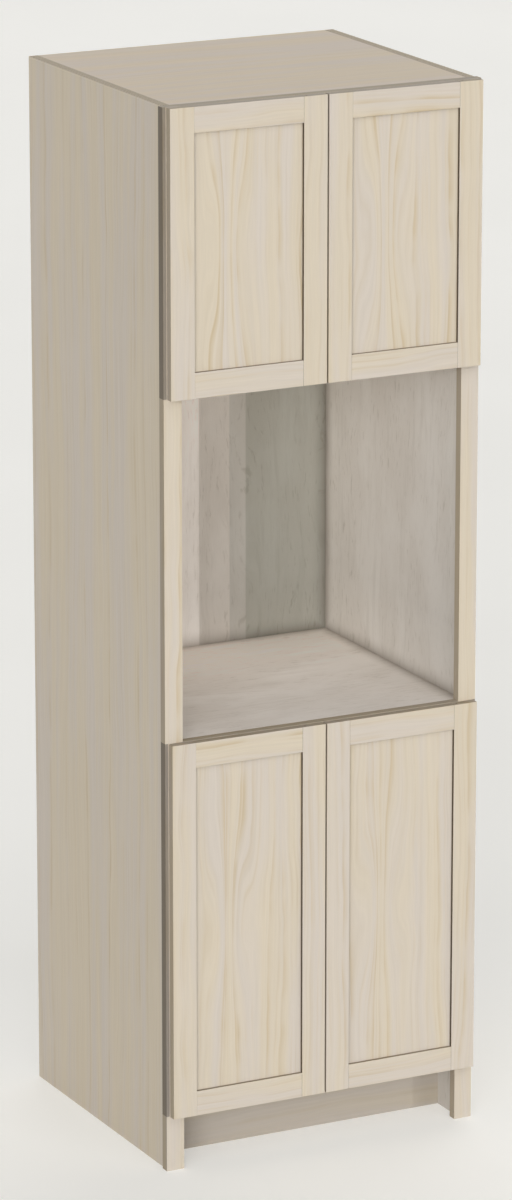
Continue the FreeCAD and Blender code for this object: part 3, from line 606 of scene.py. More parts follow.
@dataclass(frozen=True)
class Corner:
    """An inside corner of a board with its neighbour: where they meet, and how deep the painted shade is
    there.
    """

    axis: Axis
    place: float
    reach: float = 38 * MM
    strength: float = 0.62


@dataclass(frozen=True)
class LightFade:
    """Painted light and shade that change slowly along a board: its axis, and pairs of a place and the tone
    there.
    """

    axis: Axis
    stops: tuple[tuple[float, float], ...]


@dataclass(frozen=True)
class LightStep:
    """A step of painted light and shadow across a board, by where it starts and its tone against the plain
    one.
    """

    start: float
    shade: Tone


@dataclass(frozen=True)
class Reveal:
    """The strip of a frame stile outside the doors, where the doors' shadow is painted, by the doors' edge
    and the height of each row.
    """

    door_edge: float
    rows: tuple[tuple[float, float], ...]


@dataclass(frozen=True)
class BoardLook:
    """How one board is cut and finished.

    The bay side is the sign of the face that looks into the bay, or 0. The panel side is the
    direction of the door panel that the board frames.
    """

    grain: Axis
    through: Axis
    low_face: Veneer = Veneer.PALE
    high_face: Veneer = Veneer.PALE
    edge: Edge = Edge.SOLID
    seed: int = 0
    pinch: float = 0.0
    figure: float = 0.8
    panel_side: Vector | None = None
    shade_line_inset: float = 0.0
    bay_side: int = 0
    corners: tuple[Corner, ...] = ()
    light_fades: tuple[LightFade, ...] = ()
    light_steps: tuple[LightStep, ...] = ()
    reveal: Reveal | None = None
    shade: Tone = (1.0, 1.0, 1.0, 1.0)
    gloss: float = 0.12

    @property
    def across(self) -> Axis:
        """The axis of the board's width."""
        return next(axis for axis in Axis if axis not in (self.grain, self.through))


class BoardShader:
    """Makes the material of one board, step by step, from its look."""

    # Tones of painted shade: on the narrow faces of solid wood, and darker still on the walls of the recess
    # round a door panel.
    edge_shade_tone = (0.61, 0.585, 0.55, 1.0)
    stile_recess_shade = (0.14, 0.12, 0.10, 1.0)
    rail_recess_shade = (0.45, 0.42, 0.38, 1.0)
    edge_roughness = 0.10
    relief = 0.10 * MM
    relief_strength = 0.35
    face_limit = 0.5
    # Painted shade: a thin dark line round a door panel, and the darkening of inside corners.
    painted_shade_tone = (0.30, 0.26, 0.22, 1.0)
    shade_line_width = 1.1 * MM
    shade_line_strength = 0.70
    corner_falloff = 2.0
    # Painted shadow of the doors on the strip of a stile beside them.
    reveal_shadow_tone = (0.50, 0.50, 0.52, 1.0)

    def __init__(self, name: str, look: BoardLook, box: Box, groups: dict[Enum, FinishGroup]) -> None:
        """Starts a material, with the places and directions that its steps share.

        Args:
            name: Name of the material.
            look: The board's look.
            box: The board's box.
            groups: The shared finishes.
        """
        self.look = look
        self.box = box
        self.groups = groups
        self.result, self.graph, self.shader = new_material(name)
        coordinates = self.graph.add("TexCoord").outputs
        self.place = self.graph.split(coordinates["Object"])
        self.normal = self.graph.split(coordinates["Normal"])
        self.facing = self.normal[look.through.value]
        self.point = self.board_point(coordinates["Object"])

    def board_point(self, place: Socket) -> Socket:
        """Gives the point across the grain, through the board and along the grain, from its middle."""
        centred = self.graph.add("Mapping", vector_type="POINT")
        self.graph.feed(centred.inputs["Vector"], place)
        self.graph.feed(centred.inputs["Location"], -self.box.centre)
        parts = self.graph.split(centred.outputs["Vector"])
        order = (self.look.across, self.look.through, self.look.grain)
        return self.graph.combine(*(parts[axis.value] for axis in order))

    def material(self) -> bpy.types.Material:
        """Makes the broad faces, then what is particular to this board, then its narrow faces."""
        graph = self.graph
        look = self.look
        results = self.finish(look.low_face)
        if look.high_face is not look.low_face:
            on_high = graph.math("GREATER_THAN", self.facing, 0.0)
            results = self.blend(on_high, results, self.finish(look.high_face))
        colour, roughness, height = results
        # The face into the bay gets painted light and shade: steps across it, shade in its corners and slow
        # fades.
        if look.bay_side:
            inside = graph.math("GREATER_THAN", graph.math("MULTIPLY", self.facing, look.bay_side), 0.0)
            colour = graph.mix(inside, colour, self.bay_face(colour))
        # Painted shadow of the doors on the frame beside them.
        if look.reveal is not None:
            colour = self.paint_reveal_shadow(colour, look.reveal)
        # The board's tint: painted light on the top and the decks, painted shade on the toe kick.
        colour = graph.tint(colour, look.shade)
        # Painted shade in a thin line round a door panel.
        if look.shade_line_inset:
            colour = self.paint_shade_line(colour)

        colour, roughness, height = self.dress_edges((colour, roughness, height))
        graph.feed(self.shader.inputs["Base Color"], colour)
        graph.feed(self.shader.inputs["Roughness"], roughness)
        self.shader.inputs["Specular IOR Level"].default_value = look.gloss
        graph.bump(self.shader, height, self.relief_strength, self.relief)
        return self.result

    def finish(self, kind: Enum) -> Sequence[Socket]:
        """Adds one of the shared finishes, and gives its colour, roughness and height."""
        return self.groups[kind].use(self.graph, self.point, self.look)

    def blend(self, factor: Socket, results: Sequence[Socket], other: Sequence[Socket]) -> list[Socket]:
        """Passes from one finish to another where the factor is 1."""
        blended = [self.graph.mix(factor, results[0], other[0])]
        for value, goal in zip(results[1:], other[1:]):
            change = self.graph.math("SUBTRACT", goal, value)
            blended.append(self.graph.math("MULTIPLY_ADD", change, factor, value))
        return blended

    def bay_face(self, colour: Socket) -> Socket:
        """Paints light and shade on the face that looks into the bay: steps of light and shadow across it,
        shade in its corners and slow fades of light.
        """
        if self.look.light_steps:
            colour = self.paint_light_steps(colour)
        if self.look.corners:
            colour = self.paint_corner_shade(colour)
        for fade in self.look.light_fades:
            colour = self.graph.brighten(colour, self.fade(fade))
        return colour

    def paint_light_steps(self, colour: Socket) -> Socket:
        """Paints steps of light and shadow across the board, each with its own tone."""
        across = self.place[self.look.across.value]
        shade: Value = self.look.light_steps[0].shade
        for light_step in self.look.light_steps[1:]:
            shade = self.graph.mix(self.graph.math("GREATER_THAN", across, light_step.start), shade, light_step.shade)
        return self.graph.tint(colour, shade)

    def paint_corner_shade(self, colour: Socket) -> Socket:
        """Paints shade in the inside corners, where two boards meet."""
        graph = self.graph
        deepest: Value = 0.0
        for corner in self.look.corners:
            offset = graph.math("SUBTRACT", self.place[corner.axis.value], corner.place)
            distance = graph.math("ABSOLUTE", offset)
            depth = graph.remap(distance, (0.0, corner.reach), (1.0, 0.0), smooth=False)
            depth = graph.math("MULTIPLY", graph.math("POWER", depth, self.corner_falloff), corner.strength)
            deepest = graph.math("MAXIMUM", deepest, depth)
        return graph.mix(deepest, colour, graph.tint(colour, self.painted_shade_tone))

    def fade(self, fade: LightFade) -> Value:
        """Gives the level of a slow fade of painted light, from each of its stops to the next."""
        place = self.place[fade.axis.value]
        level: Value = fade.stops[0][1]
        for (start, before), (end, after) in zip(fade.stops, fade.stops[1:]):
            step = self.graph.remap(place, (start, end), (1.0, after / before), smooth=False)
            level = self.graph.math("MULTIPLY", step, level)
        return level

    def paint_reveal_shadow(self, colour: Socket, reveal: Reveal) -> Socket:
        """Paints the doors' shadow on the narrow strip of a frame stile that lies open beside them."""
        graph = self.graph
        height = self.place[Axis.Z.value]
        from_middle = graph.math("ABSOLUTE", self.place[Axis.X.value])
        outside = graph.math("GREATER_THAN", from_middle, reveal.door_edge)
        beside: Value = 0.0
        for low, high in reveal.rows:
            above = graph.math("GREATER_THAN", height, low)
            row = graph.math("MULTIPLY", above, graph.math("LESS_THAN", height, high))
            beside = graph.math("MAXIMUM", beside, row)
        strip = graph.math("MULTIPLY", outside, beside)
        return graph.mix(strip, colour, graph.tint(colour, self.reveal_shadow_tone))

    def paint_shade_line(self, colour: Socket) -> Socket:
        """Paints a thin dark line of shade where a panel goes into its frame."""
        graph = self.graph
        parts = graph.split(self.point)
        from_rim = []
        for part, axis in ((parts[0], self.look.across), (parts[2], self.look.grain)):
            reach = self.box.size[axis.value] / 2 - self.look.shade_line_inset
            from_rim.append(graph.math("SUBTRACT", graph.math("ABSOLUTE", part), reach))
        nearest = graph.math("MAXIMUM", *from_rim)
        depth = graph.remap(nearest, (-self.shade_line_width, 0.0), (0.0, self.shade_line_strength))
        return graph.mix(depth, colour, graph.tint(colour, self.painted_shade_tone))

    def dress_edges(self, results: Sequence[Socket]) -> list[Socket]:
        """Gives the narrow faces of a board their own look: the layers of plywood, or on solid wood a
        darker tone that is painted shade.

        Args:
            results: Colour, roughness and height of the broad faces.

        Returns:
            Colour, roughness and height of the whole board.
        """
        graph = self.graph
        look = self.look
        narrow = graph.math("LESS_THAN", graph.math("ABSOLUTE", self.facing), self.face_limit)
        if look.edge is not Edge.SOLID:
            if look.edge is Edge.BANDED:
                in_front = graph.math("LESS_THAN", self.normal[Axis.Y.value], -self.face_limit)
                narrow = graph.math("SUBTRACT", narrow, in_front, clamp=True)
            return self.blend(narrow, results, self.finish(Edge.PLIES))
        # The narrow faces of solid wood are darkened: painted shade.
        colour = graph.mix(narrow, results[0], graph.tint(results[0], self.edge_shade_tone))
        # The walls of the recess round a door panel are darkened more: painted shade in the recess.
        if look.panel_side is not None:
            inner = self.faces_towards(look.panel_side)
            recess_shade = self.stile_recess_shade if look.grain is Axis.Z else self.rail_recess_shade
            colour = graph.mix(inner, colour, graph.tint(results[0], recess_shade))
        roughness = graph.math("MULTIPLY_ADD", narrow, self.edge_roughness, results[1])
        return [colour, roughness, results[2]]

    def faces_towards(self, direction: Vector) -> Socket:
        """Gives 1 where the surface faces a direction along an axis."""
        axis = max(range(3), key=lambda index: abs(direction[index]))
        facing = self.graph.math("MULTIPLY", self.normal[axis], direction[axis])
        return self.graph.math("GREATER_THAN", facing, self.face_limit)


def add_bevel(part: bpy.types.Object, name: str, width: float) -> bpy.types.Modifier:
    """Adds a bevel to the sharp edges of a part, as a modifier."""
    bevel = part.modifiers.new(name, "BEVEL")
    bevel.width = width
    bevel.segments = 2
    bevel.limit_method = "ANGLE"
    bevel.angle_limit = EASING_ANGLE
    return bevel


def ease_edges(part: bpy.types.Object, width: float) -> None:
    """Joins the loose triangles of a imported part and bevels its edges."""
    weld = part.modifiers.new("weld", "WELD")
    weld.merge_threshold = MERGE_DISTANCE
    flatten = part.modifiers.new("one_face_per_plane", "DECIMATE")
    flatten.decimate_type = "DISSOLVE"
    flatten.angle_limit = FLATNESS
    add_bevel(part, "eased_edges", width).use_clamp_overlap = True


def dress(node: str, material: bpy.types.Material, easing: float) -> None:
    """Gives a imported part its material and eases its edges."""
    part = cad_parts[node]
    part.data.materials.clear()
    part.data.materials.append(material)
    ease_edges(part, easing)
    log.info("%s: finished, edges eased by %.2f mm", node, easing / MM)


class WoodShop:
    """Finishes the boards, with the node groups that they share."""

    easing = 0.7 * MM

    def __init__(self) -> None:
        """Builds the node groups."""
        self.groups: dict[Enum, FinishGroup] = {
            Veneer.PALE: PaleWood(),
            Veneer.GREY: GreyPlywood(),
            Edge.PLIES: PlyLayers(),
        }

    def dress(self, node: str, look: BoardLook) -> None:
        """Gives a packed board its material and eases its edges."""
        dress(node, BoardShader(node, look, box_of(node), self.groups).material(), self.easing)


# ---------------------------------------------------------------- sub-assemblies of boards


@dataclass
class Carcass:
    """The box of the unit: sides, decks, top, back, shelves, rails and cleats."""

    shop: WoodShop
    # Tints painted as light and shade: the top lighter, the toe kick darker as in the shade under the
    # frame, the decks lighter.
    top_painted_light: Tone = (1.107, 1.072, 1.044, 1.0)
    top_gloss: float = 0.03
    toe_painted_shade: Tone = (0.79, 0.79, 0.79, 1.0)
    deck_painted_light: Tone = (1.30, 1.29, 1.305, 1.0)
    # Steps of painted light and shadow across the back of the bay, lightest at the left.
    light_steps: tuple[LightStep, ...] = (
        LightStep(-1.0, (1.27, 1.26, 1.275, 1.0)),
        LightStep(27.5 * MM, (1.0, 0.985, 0.975, 1.0)),
        LightStep(97.0 * MM, (0.82, 0.825, 0.815, 1.0)),
        LightStep(134.0 * MM, (0.68, 0.70, 0.67, 1.0)),
    )

    def bay_corners(self) -> dict[str, Corner]:
        """Gives the corners of the bay with its back, its deck and its two sides, where shade is painted.
        """
        side = box_of("right_side_panel").low.x
        return {
            "back": Corner(Axis.Y, box_of("back_panel").low.y),
            "deck": Corner(Axis.Z, box_of("oven_deck").high.z),
            "left": Corner(Axis.X, -side),
            "right": Corner(Axis.X, side),
        }

    def bay_light_fades(self) -> dict[str, tuple[LightFade, ...]]:
        """Gives the painted light and shade of the sides, the back and the deck of the bay, which even out
        its light: lighter towards the back and the head, darker near the deck and the front, and on the
        deck lighter to the left.
        """
        deck = box_of("oven_deck")
        head = box_of("upper_floor_panel")
        back = box_of("back_panel").low.y
        front = deck.low.y
        depth = back - front
        foot, top, above = (deck.low.z, 1.0), head.low.z, (head.high.z, 1.0)
        up_sides = (foot, (deck.high.z + 150 * MM, 0.90), (top, 1.17), above)
        up_back = (foot, (deck.high.z + 100 * MM, 0.92), (top, 1.24), above)
        along_deck = ((front, 0.89), (front + 0.30 * depth, 0.90), (front + 0.85 * depth, 1.13))
        return {
            "sides": (LightFade(Axis.Z, up_sides), LightFade(Axis.Y, ((front, 0.87), (back, 1.17)))),
            "back": (LightFade(Axis.Z, up_back),),
            "deck": (LightFade(Axis.Y, along_deck), LightFade(Axis.X, ((deck.low.x, 1.10), (deck.high.x, 0.98)))),
        }

    def side_looks(self) -> dict[str, BoardLook]:
        """Gives the looks of the sides, the top, the back and the toe kick."""
        corners = self.bay_corners()
        of_side = (corners["back"], corners["deck"])
        of_back = (corners["left"], corners["right"], corners["deck"])
        light_fades = self.bay_light_fades()
        return {
            "left_side_panel": BoardLook(Axis.Z, Axis.X, Veneer.PALE, Veneer.GREY, Edge.PLIES, seed=3,
                                         figure=0.7, bay_side=1, corners=of_side, light_fades=light_fades["sides"]),
            "right_side_panel": BoardLook(Axis.Z, Axis.X, Veneer.GREY, Veneer.PALE, Edge.PLIES, seed=5,
                                          figure=0.7, bay_side=-1, corners=of_side, light_fades=light_fades["sides"]),
            "top_panel": BoardLook(Axis.X, Axis.Z, Veneer.GREY, Veneer.PALE, Edge.PLIES, seed=7,
                                   figure=0.2, shade=self.top_painted_light, gloss=self.top_gloss),
            "back_panel": BoardLook(Axis.Z, Axis.Y, Veneer.GREY, Veneer.GREY, Edge.PLIES, seed=9,
                                    light_steps=self.light_steps, bay_side=-1, corners=of_back,
                                    light_fades=light_fades["back"]),
            "toe_kick_board": BoardLook(Axis.X, Axis.Y, Veneer.PALE, Veneer.GREY, Edge.PLIES, seed=11,
                                        figure=0.5, shade=self.toe_painted_shade),
        }

    def inner_looks(self) -> dict[str, BoardLook]:
        """Gives the looks of the decks, shelves, wall rails and cleats."""
        looks = {}
        decks = ("base_floor_panel", "oven_deck", "upper_floor_panel", "lower_shelf", "upper_shelf")
        for seed, name in enumerate(decks, start=13):
            looks[name] = BoardLook(Axis.X, Axis.Z, Veneer.GREY, Veneer.GREY, Edge.BANDED, seed=seed,
                                    shade=self.deck_painted_light)
        corners = self.bay_corners()
        looks["oven_deck"] = replace(looks["oven_deck"], bay_side=1, light_fades=self.bay_light_fades()["deck"],
                                     corners=(corners["back"], corners["left"], corners["right"]))
        for seed, name in enumerate(("lower_wall_rail", "upper_wall_rail"), start=23):
            looks[name] = BoardLook(Axis.X, Axis.Y, Veneer.GREY, Veneer.GREY, Edge.PLIES, seed=seed)
        for seed, name in enumerate(("left_deck_cleat", "right_deck_cleat"), start=27):
            looks[name] = BoardLook(Axis.Y, Axis.X, Veneer.GREY, Veneer.GREY, Edge.PLIES, seed=seed)
        return looks

    def build(self) -> None:
        """Dresses the boards of the carcass."""
        for node, look in {**self.side_looks(), **self.inner_looks()}.items():
            self.shop.dress(node, look)


@dataclass
class FaceFrame:
    """The frame of solid wood on the front of the carcass."""

    shop: WoodShop
    stiles: tuple[str, ...] = ("left_frame_stile", "right_frame_stile")
    rails: tuple[str, ...] = ("base_frame_rail", "oven_sill_rail", "oven_head_rail", "top_frame_rail")

    def reveal(self) -> Reveal:
        """Gives the strip that the doors leave open on each stile."""
        rows = []
        for row in Row:
            stile = box_of(f"{row.value}_right_door_hinge_stile")
            rows.append((stile.low.z, stile.high.z))
        return Reveal(stile.high.x, tuple(rows))

    def build(self) -> None:
        """Dresses stiles and rails, each along its own grain."""
        reveal = self.reveal()
        # The stiles get the doors' shadow painted beside the doors.
        for seed, node in enumerate(self.stiles, start=31):
            self.shop.dress(node, BoardLook(Axis.Z, Axis.Y, seed=seed, reveal=reveal))
        for seed, node in enumerate(self.rails, start=37):
            self.shop.dress(node, BoardLook(Axis.X, Axis.Y, seed=seed))


@dataclass
class Door:
    """A frame-and-panel door."""

    shop: WoodShop
    row: Row
    side: Side
    first_seed: int = 41
    pinch: float = 2.1
    panel_hidden: float = 8.025 * MM
    upright_figure: float = 0.85
    rail_figure: float = 1.2
    panel_figure: float = 0.88

    @property
    def name(self) -> str:
        """What the door's nodes begin with."""
        return door_place(self.row, self.side)

    def build(self) -> None:
        """Dresses the five members of the door."""
        first = self.first_seed + 10 * (self.row is Row.UPPER) + 5 * (self.side is Side.RIGHT)
        upright = ("door_hinge_stile", "door_meeting_stile")
        level = ("door_top_rail", "door_bottom_rail")
        panel = f"{self.name}_door_panel"
        for step, member in enumerate((*upright, *level)):
            node = f"{self.name}_{member}"
            grain = Axis.Z if member in upright else Axis.X
            width = (Axis.X if member in upright else Axis.Z).value
            to_panel = Vector()
            to_panel[width] = math.copysign(1.0, (box_of(panel).centre - box_of(node).centre)[width])
            figure = self.upright_figure if member in upright else self.rail_figure
            look = BoardLook(grain, Axis.Y, seed=first + step, figure=figure, panel_side=to_panel)
            self.shop.dress(node, look)
        # The panel gets a painted line of shade where it goes into its frame.
        self.shop.dress(panel, BoardLook(Axis.Z, Axis.Y, seed=first + 4, pinch=self.pinch,
                                         figure=self.panel_figure, shade_line_inset=self.panel_hidden))


# ---------------------------------------------------------------- finishes of hardware


@dataclass(frozen=True)
class HardwareFinish:
    """A finish of the small pieces, made once: clouds of two tones."""

    cloud_detail = (2.0, 0.5)
    cloud_range = (0.35, 0.65)

    name: str
    light: Tone
    dark: Tone
    roughness: tuple[float, float]
    cloud_scale: float

    def material(self) -> bpy.types.Material:
        """Makes the material, or gives the one already made."""
        known = bpy.data.materials.get(self.name)
        if known is not None:
            return known
        material, graph, shader = new_material(self.name)
        place = graph.add("TexCoord").outputs["Object"]
        clouds = graph.noise(graph.scale_vector(place, (self.cloud_scale,) * 3), *self.cloud_detail)
        share = graph.remap(clouds, self.cloud_range, (0.0, 1.0))
        graph.feed(shader.inputs["Base Color"], graph.mix(share, self.light, self.dark))
        graph.feed(shader.inputs["Roughness"], graph.remap(clouds, (0.3, 0.7), self.roughness))
        self.add_body(graph, shader, place, clouds)
        return material

    def add_body(self, graph: Graph, shader: bpy.types.Node, place: Socket, clouds: Socket) -> None:
        """Adds what is particular to the stuff that the pieces are made of."""
        raise NotImplementedError


@dataclass(frozen=True)
class Plating(HardwareFinish):
    """Plated steel: a soft shine with faint clouds and fine marks."""

    cloud_detail = (3.0, 0.6)
    cloud_range = (0.38, 0.62)
    mark_scale = (2500.0, 2500.0, 400.0)
    mark_strength = 0.10
    mark_depth = 0.05 * MM

    def add_body(self, graph: Graph, shader: bpy.types.Node, place: Socket, clouds: Socket) -> None:
        """Makes it metal, with marks in its height."""
        shader.inputs["Metallic"].default_value = 1.0
        marks = graph.noise(graph.scale_vector(place, self.mark_scale))
        graph.bump(shader, marks, self.mark_strength, self.mark_depth)


@dataclass(frozen=True)
class SoftRubber(HardwareFinish):
    """Clear, slightly milky rubber with a satin surface."""

    clearness = 0.55
    refraction = 1.49
    swell_strength = 0.15
    swell_depth = 0.03 * MM

    def add_body(self, graph: Graph, shader: bpy.types.Node, place: Socket, clouds: Socket) -> None:
        """Lets light through, and swells the surface a little."""
        shader.inputs["Transmission Weight"].default_value = self.clearness
        shader.inputs["IOR"].default_value = self.refraction
        graph.bump(shader, clouds, self.swell_strength, self.swell_depth)


NICKEL = Plating("nickel_steel", tone(214, 209, 200), tone(196, 190, 180), (0.22, 0.32), 60.0)
ZINC = Plating("zinc_steel", tone(206, 208, 212), tone(178, 181, 188), (0.30, 0.44), 140.0)
RUBBER = SoftRubber("clear_rubber", tone(236, 236, 232), tone(214, 215, 212), (0.22, 0.34), 320.0)


# ---------------------------------------------------------------- modelling by hand


PickTest = Callable[[Vector, Vector], bool]


class Bench:
    """Modelling by hand: primitives at their place, and edit-mode tools on picked faces."""

    def __init__(self) -> None:
        """Clears the bench."""
        self.piece: bpy.types.Object | None = None

    def lay_down(self, name: str) -> None:
        """Takes the new primitive on the bench, open in edit mode and with nothing picked."""
        bpy.ops.object.transform_apply(location=True, rotation=True, scale=True)
        self.piece = bpy.context.object
        self.piece.name = name
        bpy.ops.object.mode_set(mode="EDIT")
        bpy.ops.mesh.select_mode(type="FACE")
        bpy.ops.mesh.select_all(action="DESELECT")

    def cylinder(self, name: str, radius: float, low: float, high: float, sides: int) -> None:
        """Starts with a cylinder along Z, between two heights."""
        bpy.ops.object.select_all(action="DESELECT")
        bpy.ops.mesh.primitive_cylinder_add(vertices=sides, radius=radius, depth=high - low,
                                            location=(0.0, 0.0, (low + high) / 2))
        self.lay_down(name)

    def block(self, name: str, low: Sequence[float], high: Sequence[float]) -> None:
        """Starts with a block between two corners."""
        middle = [(first + last) / 2 for first, last in zip(low, high)]
        bpy.ops.object.select_all(action="DESELECT")
        bpy.ops.mesh.primitive_cube_add(size=1.0, location=middle)
        bpy.context.object.scale = [last - first for first, last in zip(low, high)]
        self.lay_down(name)

    def pick(self, test: PickTest) -> None:
        """Picks the faces that pass a test on their middle and normal, and no others."""
        self.choose("FACE", lambda face: test(face.calc_center_median(), face.normal))

    def pick_edges(self, test: PickTest) -> None:
        """Picks the edges whose two ends pass a test, and no others."""
        self.choose("EDGE", lambda edge: test(edge.verts[0].co, edge.verts[1].co))

    def choose(self, kind: str, test: Callable[[bmesh.types.BMFace | bmesh.types.BMEdge], bool]) -> None:
        """Picks the faces or the edges that pass a test, and no others."""
        bpy.ops.mesh.select_mode(type=kind)
        bpy.ops.mesh.select_all(action="DESELECT")
        mesh = bmesh.from_edit_mesh(self.piece.data)
        for element in mesh.faces if kind == "FACE" else mesh.edges:
            element.select_set(test(element))
        mesh.select_flush_mode()
        bmesh.update_edit_mesh(self.piece.data)

    def pull(self, distance: float, scale: float = 1.0, level: float = 0.0) -> None:
        """Extrudes the picked faces along Z and scales their new end about the axis.

        Args:
            distance: How far the faces move along Z.
            scale: Scale of the new end across Z.
            level: Height of the new end.
        """
        bpy.ops.mesh.extrude_region_move(TRANSFORM_OT_translate={"value": (0.0, 0.0, distance)})
        if scale != 1.0:
            bpy.ops.transform.resize(value=(scale, scale, 1.0), center_override=(0.0, 0.0, level))

    def bevel(self, width: float, segments: int) -> None:
        """Bevels the picked edges."""
        bpy.ops.mesh.bevel(offset=width, segments=segments, affect="EDGES")

    def take_off(self, smooth_angle: float = 35.0) -> bpy.types.Object:
        """Ends the work on the piece: merges doubles, turns faces outwards and shades it.

        Args:
            smooth_angle: Edges sharper than this, in degrees, stay sharp.

        Returns:
            The finished piece.
        """
        bpy.ops.mesh.select_all(action="SELECT")
        bpy.ops.mesh.remove_doubles(threshold=MERGE_DISTANCE)
        bpy.ops.mesh.normals_make_consistent(inside=False)
        bpy.ops.object.mode_set(mode="OBJECT")
        bpy.ops.object.shade_smooth_by_angle(angle=math.radians(smooth_angle))
        return self.piece

    def cut(self, piece: bpy.types.Object, cutter: bpy.types.Object) -> None:
        """Cuts one piece out of another and throws the cutter away."""
        bpy.ops.object.select_all(action="DESELECT")
        bpy.context.view_layer.objects.active = piece
        piece.select_set(True)
        modifier = piece.modifiers.new("cut", "BOOLEAN")
        modifier.operation = "DIFFERENCE"
        modifier.solver = "EXACT"
        modifier.object = cutter
        bpy.ops.object.modifier_apply(modifier=modifier.name)
        bpy.data.objects.remove(cutter, do_unlink=True)


def stand_in(pattern: bpy.types.Object, node: str, body: str, finish: HardwareFinish,
             seating: Callable[[Box], tuple[Vector, Vector]], digits: int = 2) -> None:
    """Lets copies of a pattern piece, each with its own mesh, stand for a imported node's solids.

    Args:
        pattern: The piece, with its seat at the origin and its Z axis upright.
        node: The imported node.
        body: The body that the node rides with.
        finish: The finish of the pieces.
        seating: Gives a copy's seat, and where its Z axis points, for the box of a solid.
        digits: Least number of digits at the end of a piece's name.
    """
    boxes = solids_of(node)
    for index, box in enumerate(boxes, start=1):
        seat, direction = seating(box)
        piece = pattern.copy()
        piece.data = pattern.data.copy()
        piece.name = f"{node}_{index:0{digits}d}"
        turn = direction.to_track_quat("Z", "Y").to_matrix().to_4x4()
        piece.data.transform(Matrix.Translation(seat) @ turn)
        bpy.context.collection.objects.link(piece)
        piece.data.materials.clear()
        piece.data.materials.append(finish.material())
        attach(piece, body)
        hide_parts(node)
        finish.name
    log.info("%s: %d pieces", node, len(boxes))


# ---------------------------------------------------------------- hardware


@dataclass(frozen=True)
class Screw:
    """A pan-head screw with a cross recess and a threaded shank.

    The point is given in shank radii, the rim and the recess in shares of the head's sizes.
    """

    name: str
    head_radius: float
    head_height: float
    shank_radius: float
    length: float
    pitch: float = 1.4 * MM
    sides: int = 20
    root_share: float = 0.80
    root_step: float = 0.35
    point: float = 2.2
    point_share: float = 0.08
    rim_height: float = 0.45
    rim_width: float = 0.28
    rim_steps: int = 3
    recess_length: float = 0.52
    recess_width: float = 0.13
    recess_depth: float = 0.62
    recess_taper: tuple[float, float] = (0.55, 0.7)

    def pattern(self, bench: Bench) -> bpy.types.Object:
        """Models the screw upright, the seat of its head at the origin."""
        bench.cylinder(self.name, self.head_radius, 0.0, self.head_height, self.sides)
        bench.pick(lambda middle, normal: normal.z < -FACING)
        bench.pull(0.0, self.shank_radius / self.head_radius, 0.0)
        self.thread(bench)
        self.round_head(bench)
        screw = bench.take_off()
        for turn in (0.0, math.pi / 2):
            bench.cut(screw, self.recess(bench, turn))
        return screw

    def thread(self, bench: Bench) -> None:
        """Pulls the shank out in steps, crest and root in turn, and ends it in a point."""
        level = 0.0
        tip = self.point * self.shank_radius
        turns = int((self.length - tip) / self.pitch)
        steps = ((self.root_share, self.root_step), (1 / self.root_share, 1 - self.root_step))
        for _ in range(turns):
            for share, step in steps:
                level -= self.pitch * step
                bench.pull(-self.pitch * step, share, level)
        rest = self.length + level
        bench.pull(-rest, self.point_share, -self.length)

    def round_head(self, bench: Bench) -> None:
        """Rounds the upper rim of the head."""
        rim = self.head_height - MERGE_DISTANCE
        bench.pick_edges(lambda first, last: min(first.z, last.z) > rim)
        width = min(self.rim_height * self.head_height, self.rim_width * self.head_radius)
        bench.bevel(width, self.rim_steps)

    def recess(self, bench: Bench, turn: float) -> bpy.types.Object:
        """Models one bar of the cross that is cut into the head, narrower at its bottom."""
        half_length = self.recess_length * self.head_radius
        half_width = self.recess_width * self.head_radius
        floor = self.head_height * (1 - self.recess_depth)
        bench.block("recess", (-half_length, -half_width, floor),
                    (half_length, half_width, self.head_height + 0.5 * MM))
        bench.pick(lambda middle, normal: normal.z < -FACING)
        bpy.ops.transform.resize(value=(*self.recess_taper, 1.0), center_override=(0.0, 0.0, floor))
        cutter = bench.take_off()
        cutter.data.transform(Matrix.Rotation(turn, 4, "Z"))
        return cutter

    def seating(self, along: Axis) -> Callable[[Box], tuple[Vector, Vector]]:
        """Gives how a screw sits that lies along an axis, its head to the back or into the unit."""
        def seat(box: Box) -> tuple[Vector, Vector]:
            """Gives where the head of the screw sits in a solid's box, and where it points."""
            direction = BACKWARDS if along is Axis.Y else inwards(box)
            half = box.size[along.value] / 2
            return box.centre + direction * (half - self.head_height), direction

        return seat

    def put(self, bench: Bench, bodies: dict[str, str], finish: HardwareFinish, along: Axis) -> None:
        """Models the screw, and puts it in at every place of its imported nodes.

        Args:
            bench: The bench.
            bodies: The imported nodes, and the body of each.
            finish: The finish of the screws.
            along: The axis that the screws lie along.
        """
        pattern = self.pattern(bench)
        for node, body in bodies.items():
            stand_in(pattern, node, body, finish, self.seating(along))
        bpy.data.objects.remove(pattern, do_unlink=True)


@dataclass
class Hinges:
    """The concealed hinges: cups, arms and pins with eased edges, and their screws."""

    easing: float = 0.15 * MM
    arm_screw: Screw = Screw("arm_screw", 3.4 * MM, 1.6 * MM, 1.75 * MM, 18 * MM)
    cup_screw: Screw = Screw("cup_screw", 3.4 * MM, 0.8 * MM, 1.75 * MM, 12 * MM)

    def build(self, bench: Bench) -> None:
        """Dresses the stamped parts and puts in the screws."""
        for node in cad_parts:
            if node.endswith(("hinge_cups", "hinge_arms", "hinge_pins")):
                dress(node, NICKEL.material(), self.easing)
        self.arm_screw.put(bench, {"arm_screws": "cabinet"}, NICKEL, Axis.X)
        bodies = {f"{place}_cup_screws": f"{place}_door" for place in door_places()}
        self.cup_screw.put(bench, bodies, NICKEL, Axis.Y)


